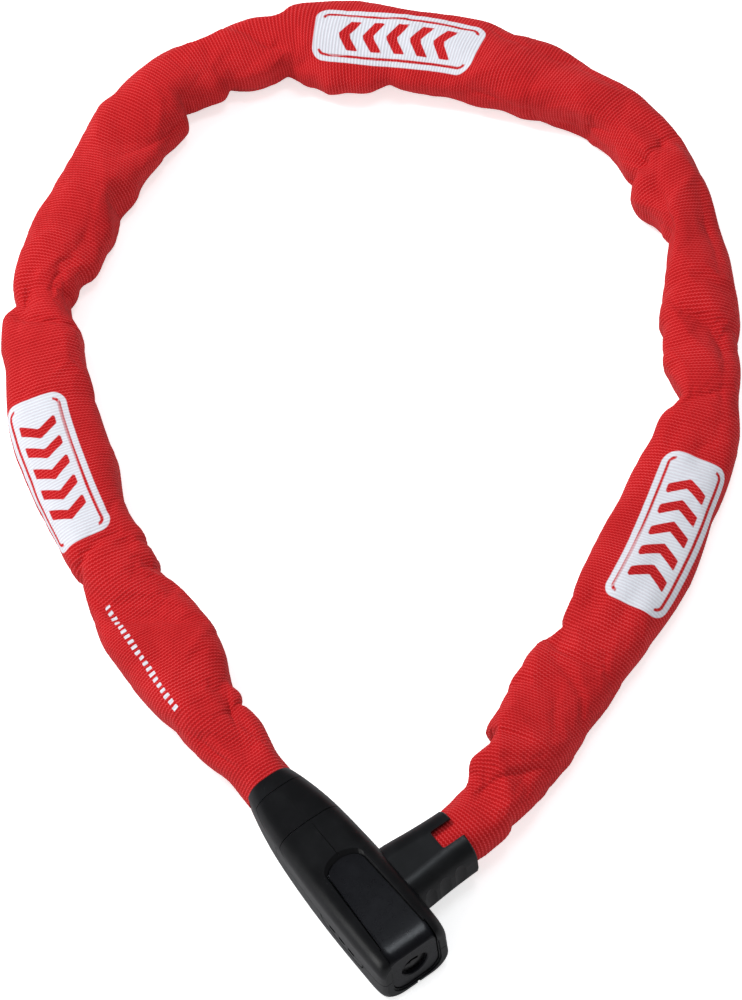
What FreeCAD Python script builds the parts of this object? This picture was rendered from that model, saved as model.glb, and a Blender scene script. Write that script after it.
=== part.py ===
import FreeCAD, Part
import math
import os
from FreeCAD import Vector

# Chain lock: a plastic-covered lock body with a key cylinder, and a sleeved chain that runs
# from the body's neck round in a loop to a ferrule and plug in the body's +Y side.
# +X runs along the body towards the key end, +Y is the way the plug withdraws, and +Z points
# out of the body's front. The lock rests on z = 0. All sizes are in millimetres.

os.makedirs("parts", exist_ok=True)

# ---------------------------------------------------------------- main dimensions
AXIS_Z = 12.5            # height of the body's long axis and of the plug axis
KEY_END_X = 26.6         # outer rim of the key end
NECK_X = -52.0           # rim of the neck collar
WALL = 1.7               # plastic wall
FLOOR_T = 1.6            # plastic floor
SEAM = 0.25              # gap between neighbouring covers
JOINT_PIN_R = 2.2        # pins that hold the two ends of the chain
JOINT_PIN_HALF_L = 5.6
BORE_CLEAR = 0.05        # radial clearance of the two large bores in the steel case

PLUG_R = 5.0
PLUG_TIP_Y = -9.0
PLUG_CORE_R = 3.0        # bottom of the plug's annular groove
LATCH_TRAVEL = 3.4       # latch stroke for a quarter turn of the cylinder
LATCH_T = 3.6
LATCH_SPRING_YS = (-5.0, 5.0)
LATCH_SPRING_Z = AXIS_Z + 5.0

CYLINDER_R = 6.0
CYLINDER_X0 = 15.2
CYLINDER_X1 = 24.2
TUMBLER_XS = (17.0, 19.1, 21.2)
TUMBLER_R = 0.8
TUMBLER_CLEAR = 0.04

FERRULE_Y0 = 10.5        # inner end of the ferrule, in its socket
FERRULE_Y1 = 36.0        # outer end of the ferrule
FERRULE_ROOT_HALF_W = 11.3
FERRULE_ROOT_HALF_H = 9.7

X_AXIS = Vector(1, 0, 0)
Y_AXIS = Vector(0, 1, 0)
Z_AXIS = Vector(0, 0, 1)

# Chain joints, neck pin first, ferrule pin last: x, y, z
JOINTS = [
    (-45.000, 0.000, 12.500), (-77.543, 0.288, 11.511), (-109.929, 2.809, 9.315),
    (-142.356, 5.729, 9.000), (-174.418, 11.395, 9.000), (-205.720, 20.353, 9.000),
    (-235.504, 33.505, 9.000), (-262.622, 51.525, 9.000), (-281.674, 77.928, 9.000),
    (-297.753, 106.240, 9.000), (-307.332, 137.357, 9.000), (-301.783, 169.440, 9.000),
    (-283.141, 196.134, 9.000), (-259.825, 218.858, 9.000), (-232.232, 236.141, 9.000),
    (-201.963, 248.136, 9.000), (-169.405, 247.818, 9.000), (-138.340, 238.070, 9.000),
    (-111.203, 220.080, 9.000), (-84.936, 200.840, 9.000), (-65.285, 174.880, 9.000),
    (-47.839, 147.390, 9.000), (-33.272, 118.271, 9.000), (-21.176, 88.045, 9.301),
    (-7.130, 58.752, 11.488), (0.000, 27.000, 12.500),
]
# The end joints lie on the sides of their pins.
NECK_PIN_X = JOINTS[0][0] - JOINT_PIN_R
FERRULE_PIN_Y = JOINTS[-1][1] + JOINT_PIN_R

# Sleeve centreline from the neck joint to the ferrule joint: x, y, z, half width
SLEEVE_PATH = [
    (-45.00, 0.00, 12.50, 11.49), (-52.92, 0.01, 12.50, 11.50), (-60.85, 0.04, 12.38, 11.54),
    (-68.77, 0.13, 12.05, 11.64), (-76.69, 0.27, 11.57, 11.88), (-84.61, 0.47, 11.00, 12.29),
    (-92.52, 0.88, 10.41, 12.89), (-100.41, 1.63, 9.86, 13.59), (-108.27, 2.60, 9.39, 14.24),
    (-116.13, 3.57, 9.09, 14.60), (-124.02, 4.36, 9.00, 14.60), (-131.92, 4.94, 9.00, 14.56),
    (-139.82, 5.50, 9.00, 14.13), (-147.70, 6.34, 9.00, 13.69), (-155.52, 7.56, 9.00, 13.38),
    (-163.31, 9.01, 9.00, 13.29), (-171.07, 10.63, 9.00, 13.39), (-178.78, 12.46, 9.00, 13.66),
    (-186.43, 14.51, 9.00, 14.02), (-194.04, 16.70, 9.00, 14.39), (-201.62, 19.01, 9.00, 14.60),
    (-209.13, 21.54, 9.00, 14.60), (-216.52, 24.38, 9.00, 14.60), (-223.77, 27.59, 9.00, 14.46),
    (-230.87, 31.09, 9.00, 14.07), (-237.89, 34.77, 9.00, 13.60), (-244.86, 38.54, 9.00, 13.12),
    (-251.69, 42.55, 9.00, 12.76), (-258.10, 47.19, 9.00, 12.66), (-263.72, 52.77, 9.00, 12.89),
    (-268.48, 59.10, 9.00, 13.33), (-272.88, 65.69, 9.00, 13.77), (-277.43, 72.17, 9.00, 14.03),
    (-282.13, 78.55, 9.00, 14.13), (-286.61, 85.08, 9.00, 14.23), (-290.64, 91.90, 9.00, 14.45),
    (-294.30, 98.92, 9.00, 14.60), (-297.69, 106.09, 9.00, 14.60), (-300.73, 113.40, 9.00, 14.60),
    (-303.39, 120.86, 9.00, 14.60), (-305.66, 128.45, 9.00, 14.60), (-307.21, 136.22, 9.00, 14.44),
    (-307.49, 144.12, 9.00, 14.39), (-306.52, 151.98, 9.00, 14.54), (-304.76, 159.70, 9.00, 14.60),
    (-302.51, 167.30, 9.00, 14.60), (-299.73, 174.72, 9.00, 14.60), (-295.99, 181.69, 9.00, 14.60),
    (-291.10, 187.92, 9.00, 14.60), (-285.61, 193.63, 9.00, 14.60), (-280.08, 199.29, 9.00, 14.60),
    (-274.61, 205.02, 9.00, 14.60), (-269.01, 210.63, 9.00, 14.60), (-263.18, 215.99, 9.00, 14.60),
    (-257.09, 221.06, 9.00, 14.60), (-250.66, 225.69, 9.00, 14.60), (-243.90, 229.81, 9.00, 14.60),
    (-236.96, 233.63, 9.00, 14.60), (-229.95, 237.33, 9.00, 14.60), (-222.87, 240.89, 9.00, 14.60),
    (-215.62, 244.06, 9.00, 14.03), (-208.12, 246.62, 9.00, 13.20), (-200.41, 248.44, 9.00, 12.57),
    (-192.57, 249.56, 9.00, 12.15), (-184.66, 249.87, 9.00, 11.90), (-176.77, 249.23, 9.00, 11.74),
    (-168.99, 247.72, 9.00, 11.57), (-161.33, 245.72, 9.00, 11.31), (-153.70, 243.59, 9.00, 11.00),
    (-146.13, 241.24, 9.00, 11.00), (-138.79, 238.28, 9.00, 11.00), (-131.81, 234.53, 9.00, 11.00),
    (-125.18, 230.20, 9.00, 11.00), (-118.73, 225.59, 9.00, 11.12), (-112.34, 220.92, 9.00, 11.47),
    (-105.95, 216.23, 9.00, 11.66), (-99.54, 211.58, 9.00, 11.70), (-93.07, 207.00, 9.00, 11.68),
    (-86.70, 202.29, 9.00, 11.78), (-80.83, 196.99, 9.00, 12.17), (-75.75, 190.91, 9.00, 12.86),
    (-71.32, 184.35, 9.00, 13.71), (-67.07, 177.66, 9.00, 14.51), (-62.76, 171.01, 9.00, 14.60),
    (-58.39, 164.40, 9.00, 14.60), (-54.10, 157.74, 9.00, 14.60), (-49.96, 150.99, 9.00, 14.60),
    (-45.98, 144.14, 9.00, 14.60), (-42.19, 137.18, 9.00, 14.60), (-38.62, 130.11, 9.00, 14.60),
    (-35.28, 122.92, 9.00, 14.60), (-32.19, 115.63, 9.00, 14.60), (-29.34, 108.24, 9.00, 14.60),
    (-26.55, 100.82, 9.00, 14.48), (-23.59, 93.48, 9.09, 14.33), (-20.34, 86.25, 9.39, 14.22),
    (-16.91, 79.11, 9.86, 14.13), (-13.44, 71.99, 10.41, 14.06), (-10.00, 64.85, 11.00, 14.00),
    (-6.64, 57.68, 11.57, 13.97), (-3.59, 50.36, 12.05, 13.96), (-1.39, 42.76, 12.38, 13.95),
    (-0.34, 34.91, 12.50, 13.95), (0.00, 27.00, 12.50, 13.95),
]


# ---------------------------------------------------------------- helpers
def box(x_min, x_max, y_min, y_max, z_min, z_max):
    corner = Vector(x_min, y_min, z_min)
    return Part.makeBox(x_max - x_min, y_max - y_min, z_max - z_min, corner)


def axis_box(x_min, x_max, half_width, half_height):
    """Box centred across the body's long axis."""
    return box(x_min, x_max, -half_width, half_width, AXIS_Z - half_height, AXIS_Z + half_height)


def slab(x_min=-60, x_max=40, z_min=-10, z_max=50):
    """Block wider than the body, and larger than it on every side that isn't given."""
    return box(x_min, x_max, -30, 30, z_min, z_max)


def cylinder(radius, base, axis, length):
    return Part.makeCylinder(radius, length, Vector(*base), axis)


def cone(base_radius, end_radius, base, axis, length):
    return Part.makeCone(base_radius, end_radius, length, Vector(*base), axis)


def rod_along_x(radius, x_min, x_max):
    """Cylinder on the body's long axis."""
    return cylinder(radius, (x_min, 0, AXIS_Z), X_AXIS, x_max - x_min)


def rod_along_y(radius, y_min, y_max):
    """Cylinder on the plug axis."""
    return cylinder(radius, (0, y_min, AXIS_Z), Y_AXIS, y_max - y_min)


def spring(pitch, length, coil_radius, wire_radius, base, rotation):
    """Coil spring along local Z; the rotation must leave Y in place."""
    helix = Part.makeHelix(pitch, length, coil_radius)
    helix.Placement = FreeCAD.Placement(base, rotation)
    start = base + rotation.multVec(Vector(coil_radius, 0, 0))
    profile = Part.Wire(Part.makeCircle(wire_radius, start, Y_AXIS))
    return Part.Wire(helix.Edges).makePipeShell([profile], True, True)


def line(start, end):
    return Part.LineSegment(start, end).toShape()


def spline(points):
    curve = Part.BSplineCurve()
    curve.interpolate(points)
    return curve.toShape()


def prism(wire, direction):
    return Part.Face(wire).extrude(direction)


def rounded_corners(half_width, low, high, radius):
    """Corner arcs as (start, middle, end), anticlockwise from the lower right one."""
    width = half_width
    inset = radius * (1 - math.sqrt(0.5))
    return [
        ((width - radius, low), (width - inset, low + inset), (width, low + radius)),
        ((width, high - radius), (width - inset, high - inset), (width - radius, high)),
        ((-width + radius, high), (-width + inset, high - inset), (-width, high - radius)),
        ((-width, low + radius), (-width + inset, low + inset), (-width + radius, low)),
    ]


def outline(stops, place):
    """Closed wire through sharp points (one-entry stops) and arcs (three-entry stops)."""
    edges = []
    previous = stops[-1]
    for stop in stops:
        edges.append(line(place(*previous[-1]), place(*stop[0])))
        if len(stop) == 3:
            edges.append(Part.Arc(*[place(*point) for point in stop]).toShape())
        previous = stop
    return Part.Wire(edges)


def biggest(shape):
    return max(shape.Solids, key=lambda solid: solid.Volume)


def save(shape, name):
    # Merging split faces can damage a shape, so the result is used only if it is sound.
    volume = shape.Volume
    merged = shape.copy().removeSplitter()
    if merged.isValid() and abs(merged.Volume - volume) < 1e-3 * volume:
        shape = merged
    if len(shape.Solids) == 1:
        shape = shape.Solids[0]
    else:
        shape = Part.makeCompound(shape.Solids)
    shape.exportStep(f"parts/{name}.step")


# ---------------------------------------------------------------- body envelope
# Stations along the body: x, half width, bottom z, top z, corner radius, ridge height
BODY_STATIONS = [
    (NECK_X,     8.3,  4.1, 20.9, 6.2, 0.10),
    (-47.0,      9.5,  3.0, 22.2, 6.6, 0.15),
    (-41.0,     10.6,  1.8, 23.3, 6.8, 0.30),
    (-33.0,     11.6,  0.7, 24.4, 6.8, 0.30),
    (-23.0,     12.3, -0.2, 25.0, 6.6, 0.28),
    (-10.0,     12.9, -0.5, 25.3, 6.4, 0.20),
    (5.0,       13.1, -0.5, 25.3, 6.2, 0.05),
    (18.0,      13.0, -0.4, 25.0, 6.2, 0.02),
    (23.5,      12.7, -0.2, 24.5, 6.2, 0.02),
    (25.6,      12.2,  0.5, 23.7, 6.4, 0.02),
    (KEY_END_X, 11.2,  1.6, 22.6, 6.2, 0.02),
]
# How far the last three stations follow when the key end is moved
KEY_END_FOLLOW = {-3: 0.8, -2: 1.0, -1: 1.0}
MIN_RIDGE = 0.001        # keeps the two top edges from lying in one line

# Bore through the neck: x, half width, depth below and height above the axis
NECK_BORE_STATIONS = [(-53.0, 7.25, 7.2, 7.2), (-44.0, 7.5, 7.4, 7.6), (-38.0, 8.6, 8.6, 8.9)]
NECK_BORE_CORNER_R = 5.4
CAVITY_X0 = -43.0        # neck end of the wide cavity

SOCKET_CLEAR = 0.3       # gap round the ferrule's root


def body_section(x, half_width, low, high, radius, ridge):
    """Rounded rectangle across X with a low ridge along the middle of its top."""
    lower_right, upper_right, upper_left, lower_left = rounded_corners(
        half_width, low, high, radius)
    stops = [lower_right, upper_right, ((0, high + ridge),), upper_left, lower_left, ((0, low),)]
    return outline(stops, lambda y, z: Vector(x, y, z))


def body_loft(inset, key_end_x=KEY_END_X, neck_x=NECK_X):
    """Body envelope moved inwards; its two ends stay unless they are given."""
    positions = [station[0] for station in BODY_STATIONS]
    positions[0] = neck_x
    for index, share in KEY_END_FOLLOW.items():
        positions[index] -= (KEY_END_X - key_end_x) * share
    sections = []
    for x, (_, half_width, low, high, radius, ridge) in zip(positions, BODY_STATIONS):
        sections.append(body_section(x, half_width - inset, low + inset, high - inset,
                                     radius - inset, ridge * 0.999 + MIN_RIDGE))
    return Part.makeLoft(sections, True, False)


def body_skin(depth):
    """Outermost layer of the body."""
    return outer.cut(body_loft(depth, KEY_END_X - depth))


def make_cavity():
    wide = body_loft(WALL, CYLINDER_X1 + 0.1, NECK_X - 0.5)
    # The neck wall is thinner so that the first link clears it.
    neck_bore = Part.makeLoft([
        body_section(x, half_width, AXIS_Z - depth, AXIS_Z + height,
                     NECK_BORE_CORNER_R, MIN_RIDGE)
        for x, half_width, depth, height in NECK_BORE_STATIONS], True, False)
    return wide.common(slab(x_min=CAVITY_X0, z_min=FLOOR_T)).fuse(neck_bore)


def ferrule_section(y, half_width, half_height, radius):
    """Rounded rectangle across the plug axis."""
    corners = rounded_corners(half_width, AXIS_Z - half_height, AXIS_Z + half_height, radius)
    return outline(corners, lambda x, z: Vector(x, y, z))


def ferrule_socket():
    """Opening in the body's +Y side that takes the ferrule's root."""
    return Part.makeLoft([
        ferrule_section(y, FERRULE_ROOT_HALF_W + SOCKET_CLEAR,
                        FERRULE_ROOT_HALF_H + SOCKET_CLEAR, 7.2)
        for y in (8.0, 20.0)], True, True)


# ---------------------------------------------------------------- front panel and its recess
PANEL_DROP = 0.8         # how far the front panel lies below the frame rim
PANEL_HOLE_R = 4.75      # round hole over the cylinder face
ARCH_TIP_X = -12.5
ARCH_HALF_W = 6.6        # half width where the arched end starts
ARCH_OPEN_HALF_W = 8.6   # half width beyond the key end
ARCH_OPEN_X = 32.0
ARCH_DEPTH_RATIO = 0.62  # depth of the arched end over its half width
ARCH_STEPS = 14
END_HALF_W = 8.6         # part of the panel that turns down over the key end
END_Z0 = 3.2
END_CORNER_R = 5.5
END_X = (20.5, 32.5)
END_TOP_Z = 30
BEVEL_GROW = 0.55        # rim round the end part, and its depth over the panel drop


def arch_points(half_width, open_half_width, tip_x, z):
    """Arched end at the neck side, then the two open corners beyond the key end."""
    points = []
    for i in range(ARCH_STEPS + 1):
        angle = math.pi * i / ARCH_STEPS
        points.append(Vector(tip_x + half_width * ARCH_DEPTH_RATIO * (1 - math.sin(angle)),
                             half_width * math.cos(angle), z))
    points.append(Vector(ARCH_OPEN_X, -open_half_width, z))
    points.append(Vector(ARCH_OPEN_X, open_half_width, z))
    return points


def arch_prism(grow):
    points = arch_points(ARCH_HALF_W + grow, ARCH_OPEN_HALF_W + grow, ARCH_TIP_X - grow, 16.0)
    arch, corners = points[:-2], points[-2:]
    wire = Part.Wire([spline(arch), line(arch[-1], corners[0]), line(*corners),
                      line(corners[1], arch[0])])
    return prism(wire, Vector(0, 0, 18.0))


def end_prism(grow):
    """Plate region on the key end, rounded at its foot and open at its top."""
    half_width = END_HALF_W + grow
    corners = rounded_corners(half_width, END_Z0 - grow, END_TOP_Z, END_CORNER_R)
    stops = [corners[0], ((half_width, END_TOP_Z),), ((-half_width, END_TOP_Z),), corners[3]]
    wire = outline(stops, lambda y, z: Vector(END_X[0], y, z))
    return prism(wire, Vector(END_X[1] - END_X[0], 0, 0))


def panel_region(grow):
    return arch_prism(grow).fuse(end_prism(grow))


def recess_bevel():
    """Sloping wall of the panel recess, widest round the arched end."""
    low = arch_points(ARCH_HALF_W, ARCH_OPEN_HALF_W, ARCH_TIP_X, 24.2)
    high = arch_points(7.5, 9.2, -14.9, 25.9)
    slope = Part.makeLoft([Part.makePolygon(points + [points[0]]) for points in (low, high)],
                          True, True)
    end_rim = body_skin(PANEL_DROP * BEVEL_GROW).common(end_prism(BEVEL_GROW))
    return slope.fuse(end_rim.common(slab(x_min=20, z_max=19)))


def make_front_panel():
    face_x = KEY_END_X - PANEL_DROP
    panel = body_loft(PANEL_DROP, face_x).cut(slab(z_max=0.0))
    panel = panel.cut(cavity).common(panel_region(-SEAM))
    panel = panel.cut(rod_along_x(PANEL_HOLE_R, 20, 30))
    panel = panel.cut(cone(PANEL_HOLE_R, PANEL_HOLE_R + 0.6, (face_x - 0.3, 0, AXIS_Z),
                           X_AXIS, 0.6))
    return biggest(panel)


# ---------------------------------------------------------------- housing covers
SPLIT_Z = 12.6           # parting height between rear shell and front cover
COVER_X0 = -31.5         # neck end of the front cover
CAP_X0 = -45.8
CAP_X1 = -29.2

BADGE_X, BADGE_Z = 5.0, 12.0      # engraving on the -Y flank
BADGE_HALF_L, BADGE_HALF_H = 11.5, 3.4
BADGE_LINE = 0.6
BADGE_BAR_PITCH = 5.0
ENGRAVE_DEPTH = 0.35

SCREW_SITES = [(-21.0, 7.0), (-21.0, -7.0)]


def cap_region(grow):
    """Neck cap's side outline, with a skirt that runs down each side to a point."""
    points = [Vector(x, -20, z) for x, z in [
        (CAP_X0 - grow, 40),
        (CAP_X0 - grow, 18.6 - grow),
        (-40.5, 17.9 - grow),
        (-33.0, 17.4 - grow),
        (-24.2 + grow * 2.0, 17.2 - grow * 0.4),
        (CAP_X1 + grow, 20.4 + grow * 0.6),
        (CAP_X1 + grow, 40),
    ]]
    wire = Part.Wire([line(points[0], points[1]), spline(points[1:5]),
                      line(points[4], points[5]), line(points[5], points[6]),
                      line(points[6], points[0])])
    return prism(wire, Vector(0, 40, 0))


def stadium(half_length, half_height):
    """Round-ended bar through the -Y flank."""
    reach = half_length - half_height
    shape = box(BADGE_X - reach, BADGE_X + reach, -20, -5,
                BADGE_Z - half_height, BADGE_Z + half_height)
    for side in (-1, 1):
        shape = shape.fuse(cylinder(half_height, (BADGE_X + side * reach, -20, BADGE_Z),
                                    Y_AXIS, 15))
    return shape


def engraving():
    """Round-ended outline with three bars inside."""
    shape = stadium(BADGE_HALF_L, BADGE_HALF_H).cut(
        stadium(BADGE_HALF_L - BADGE_LINE, BADGE_HALF_H - BADGE_LINE))
    for i in (-1, 0, 1):
        x = BADGE_X + BADGE_BAR_PITCH * i
        shape = shape.fuse(box(x - 1.6, x + 1.6, -20, -5, BADGE_Z - 1.0, BADGE_Z + 1.0))
    return shape.common(body_skin(ENGRAVE_DEPTH))


def make_rear_shell(frame):
    shell = frame.cut(slab(x_min=COVER_X0 - SEAM, z_min=SPLIT_Z - SEAM / 2))
    # Drops what stands between the cap and the front cover above the cap's skirt.
    keep = slab(x_max=CAP_X0).fuse(slab(x_min=CAP_X0 - 0.1, z_max=SPLIT_Z + 8))
    shell = biggest(shell.common(keep))
    # Notch in the lower rim of the key end
    shell = shell.cut(box(25.4, 28, -0.5, 0.5, -1, 2.6))
    shell = shell.cut(engraving())
    # Screw bosses on the floor, with the heads sunk in the underside
    for x, y in SCREW_SITES:
        shell = shell.fuse(cylinder(3.0, (x, y, 1.0), Z_AXIS, 5.0))
        shell = shell.cut(cylinder(2.5, (x, y, -1.0), Z_AXIS, 3.4))
        shell = shell.cut(cylinder(1.3, (x, y, 0), Z_AXIS, 8))
    return shell


def make_front_cover(frame):
    cover = biggest(frame.common(slab(x_min=COVER_X0, z_min=SPLIT_Z + SEAM / 2)))
    # Fine line near the cover's middle, from the cap to the recess
    cover = cover.cut(box(CAP_X1 - 1, -11.0, 0.3, 0.5, 24.85, 27))
    # Screw posts down from the inside of the cover
    for x, y in SCREW_SITES:
        post = cylinder(2.6, (x, y, 6.3), Z_AXIS, 18.0)
        post = post.common(body_loft(WALL * 0.7, KEY_END_X - 1))
        post = post.cut(cylinder(1.25, (x, y, 6.0), Z_AXIS, 9.5))
        cover = cover.fuse(post)
    return cover


def make_screw(x, y):
    head = cylinder(2.3, (x, y, 0.7), Z_AXIS, 1.65)
    screw = head.fuse(cylinder(1.2, (x, y, 2.0), Z_AXIS, 12.5))
    # Cross recess
    for half_x, half_y in ((1.6, 0.3), (0.3, 1.6)):
        screw = screw.cut(box(x - half_x, x + half_x, y - half_y, y + half_y, 0.0, 1.5))
    return screw


outer = body_loft(0.0).cut(slab(z_max=0.0))
cavity = make_cavity()
frame_body = outer.cut(cavity).cut(ferrule_socket()).cut(panel_region(0.0)).cut(recess_bevel())
capless_body = frame_body.cut(cap_region(SEAM / 2))

save(make_rear_shell(capless_body), "rear_shell")
save(biggest(frame_body.common(cap_region(-SEAM / 2))), "neck_cap")
save(make_front_cover(capless_body), "front_cover")
save(make_front_panel(), "front_panel")
save(Part.makeCompound([make_screw(x, y) for x, y in SCREW_SITES]), "housing_screws")

# ---------------------------------------------------------------- steel case and neck pin
FORK_HALF_W = 3.9
FORK_HALF_H = 4.7        # outer faces of the two prongs
FORK_GAP_HALF_H = 2.6
PIN_HEAD_H = 1.0


def make_steel_case():
    case = box(-13.0, 23.6, -10.2, 10.2, 2.6, 22.2)
    case = case.common(body_loft(WALL + 0.5, KEY_END_X - 2.6))
    neck_bar = axis_box(-38.4, -12.0, FORK_HALF_W, 4.3)
    prongs = [box(-50.4, -38.0, -FORK_HALF_W, FORK_HALF_W, AXIS_Z + low, AXIS_Z + high)
              for low, high in ((FORK_GAP_HALF_H, FORK_HALF_H),
                                (-FORK_HALF_H, -FORK_GAP_HALF_H))]
    case = case.fuse(neck_bar).fuse(prongs[0].fuse(prongs[1]))
    case = case.cut(cylinder(JOINT_PIN_R, (NECK_PIN_X, 0, 0), Z_AXIS, 30))
    # Plug bore
    case = case.cut(rod_along_y(PLUG_R + BORE_CLEAR, PLUG_TIP_Y - 0.4, PLUG_TIP_Y + 29.6))
    # Seat of the cylinder body and of the rib below it
    case = case.cut(rod_along_x(CYLINDER_R + BORE_CLEAR, CYLINDER_X0, CYLINDER_X0 + 12))
    case = case.cut(box(CYLINDER_X0, 30, -2.25, 2.25, 2.0, AXIS_Z))
    # Latch chamber: thin slot across the plug bore, then room for the latch ring
    case = case.cut(axis_box(0.2, 9.0, LATCH_T / 2 + 0.1, 6.2))
    case = case.cut(axis_box(5.2, CYLINDER_X0 + 0.1, 6.0, 6.0))
    for y in LATCH_SPRING_YS:
        case = case.cut(cylinder(1.05, (CYLINDER_X0, y, LATCH_SPRING_Z), X_AXIS, 7.0))
    return case


def joint_pin(x, y):
    return cylinder(JOINT_PIN_R, (x, y, AXIS_Z - JOINT_PIN_HALF_L), Z_AXIS, 2 * JOINT_PIN_HALF_L)


def make_neck_pin():
    """Pin with a tapered head on the outer face of each prong."""
    top_z = AXIS_Z + FORK_HALF_H
    bottom_z = AXIS_Z - FORK_HALF_H - PIN_HEAD_H
    pin = joint_pin(NECK_PIN_X, 0)
    pin = pin.fuse(cone(2.8, 2.3, (NECK_PIN_X, 0, top_z), Z_AXIS, PIN_HEAD_H))
    return pin.fuse(cone(2.3, 2.8, (NECK_PIN_X, 0, bottom_z), Z_AXIS, PIN_HEAD_H))


save(make_steel_case(), "steel_case")
save(make_neck_pin(), "neck_pin")

# ---------------------------------------------------------------- key cylinder
CORE_R = 4.0
TAIL_X0 = 9.6
TAIL_R = 2.0
TAIL_CLEAR = 0.02
TAIL_FLAT_Y = 1.4
KEYWAY_X0 = CYLINDER_X0 + 0.8
KEY_PIN_TIP_Y = 1.15     # tip of the longest key pin
KEY_PIN_STEP = 0.25
KEY_PIN_END_Y = 3.9
KEY_PIN_TAPER = 0.6
CLIP_X0 = 14.5


def make_cylinder_body():
    body = rod_along_x(CYLINDER_R, CYLINDER_X0, CYLINDER_X1)
    body = body.fuse(box(CYLINDER_X0, CYLINDER_X1 - 0.8, -2.2, 2.2, AXIS_Z - 9.3, AXIS_Z))
    body = body.cut(rod_along_x(CORE_R + 0.04, CYLINDER_X0 - 1, CYLINDER_X1 + 1))
    for x in TUMBLER_XS:
        body = body.cut(cylinder(TUMBLER_R + TUMBLER_CLEAR, (x, 0, AXIS_Z - 8.7), Z_AXIS, 6.0))
    return body


def make_cylinder_plug():
    plug = rod_along_x(CORE_R, CYLINDER_X0, CYLINDER_X1 - 0.02)
    plug = plug.fuse(rod_along_x(TAIL_R, TAIL_X0, CYLINDER_X0 + 0.5))
    # Flat on the tail
    plug = plug.cut(box(TAIL_X0 - 1, 14.46, TAIL_FLAT_Y, 3, AXIS_Z - 3, AXIS_Z + 3))
    # Keyway with a side step, and a cone at its mouth
    plug = plug.cut(box(KEYWAY_X0, 30, -3.0, 2.2, AXIS_Z - 0.6, AXIS_Z + 0.6))
    plug = plug.cut(box(KEYWAY_X0, 30, -1.4, -0.5, AXIS_Z - 1.0, AXIS_Z + 0.2))
    plug = plug.cut(cone(0.1, 3.3, (CYLINDER_X1 - 0.35, 0, AXIS_Z), X_AXIS, 0.36))
    for x in TUMBLER_XS:
        plug = plug.cut(cylinder(TUMBLER_R + TUMBLER_CLEAR, (x, 1.0, AXIS_Z), Y_AXIS, 4.0))
    return plug


def make_key_pin(i):
    x = TUMBLER_XS[i]
    tip_y = KEY_PIN_TIP_Y + KEY_PIN_STEP * ((i * 2) % 3)
    shank_y = tip_y + KEY_PIN_TAPER
    shank = cylinder(TUMBLER_R, (x, shank_y, AXIS_Z), Y_AXIS, KEY_PIN_END_Y - shank_y)
    return shank.fuse(cone(0.25, TUMBLER_R, (x, tip_y, AXIS_Z), Y_AXIS, KEY_PIN_TAPER))


def make_clip():
    """Retaining ring on the tail, open downwards."""
    clip = rod_along_x(4.0, CLIP_X0, CLIP_X0 + 0.6)
    clip = clip.cut(rod_along_x(TAIL_R + TAIL_CLEAR, 14, 16))
    return clip.cut(box(14, 16, -1.5, 1.5, AXIS_Z - 5, AXIS_Z))


save(make_cylinder_body(), "cylinder_body")
save(make_cylinder_plug(), "cylinder_plug")
save(Part.makeCompound([make_key_pin(i) for i in range(len(TUMBLER_XS))]), "key_pins")
save(Part.makeCompound([cylinder(TUMBLER_R, (x, 0, AXIS_Z - 6.0), Z_AXIS, 1.9)
                        for x in TUMBLER_XS]), "driver_pins")
save(Part.makeCompound([
    spring(pitch=0.42, length=2.5, coil_radius=0.6, wire_radius=0.1,
           base=Vector(x, 0, AXIS_Z - 8.55), rotation=FreeCAD.Rotation())
    for x in TUMBLER_XS]), "pin_springs")
save(make_clip(), "cylinder_clip")

# ---------------------------------------------------------------- drum and latch
DRUM_X0, DRUM_X1 = 8.95, 14.4
DRUM_R = 4.3
PEG_X = 13.2
PEG_R = 0.8
SLOT_R0, SLOT_R1 = 3.3, 5.4      # bottom of the drum slot, and beyond the drum's surface
SLOT_HALF_X = 0.97
SLOT_STEPS = 8
LATCH_HALF_H = 5.8


def slot_station(fraction):
    """Point on the axis and outward direction of the slot at a fraction of the turn."""
    angle = math.radians(90.0 * fraction)
    centre = Vector(PEG_X - LATCH_TRAVEL * fraction, 0, AXIS_Z)
    return centre, Vector(0, -math.sin(angle), math.cos(angle))


def make_cam_drum():
    """Helical drum: a quarter turn moves the latch peg by the latch travel."""
    drum = rod_along_x(DRUM_R, DRUM_X0, DRUM_X1)
    tail_bore = rod_along_x(TAIL_R + TAIL_CLEAR, TAIL_X0 - 0.05, TAIL_X0 + 9.95)
    drum = drum.cut(tail_bore.cut(
        box(TAIL_X0 - 1, 16, TAIL_FLAT_Y + TAIL_CLEAR, 3, AXIS_Z - 3, AXIS_Z + 3)))
    sections = []
    for i in range(SLOT_STEPS + 1):
        centre, outward = slot_station(i / SLOT_STEPS)
        points = [centre + Vector(side * SLOT_HALF_X, 0, 0) + outward * radius
                  for side, radius in ((-1, SLOT_R0), (1, SLOT_R0), (1, SLOT_R1), (-1, SLOT_R1))]
        sections.append(Part.makePolygon(points + [points[0]]))
    drum = drum.cut(Part.makeLoft(sections, True, False))
    # Round ends of the slot
    for fraction in (0.0, 1.0):
        centre, outward = slot_station(fraction)
        drum = drum.cut(cylinder(PEG_R + 0.08, centre + outward * SLOT_R0, outward, 3.0))
    return biggest(drum)


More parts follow.
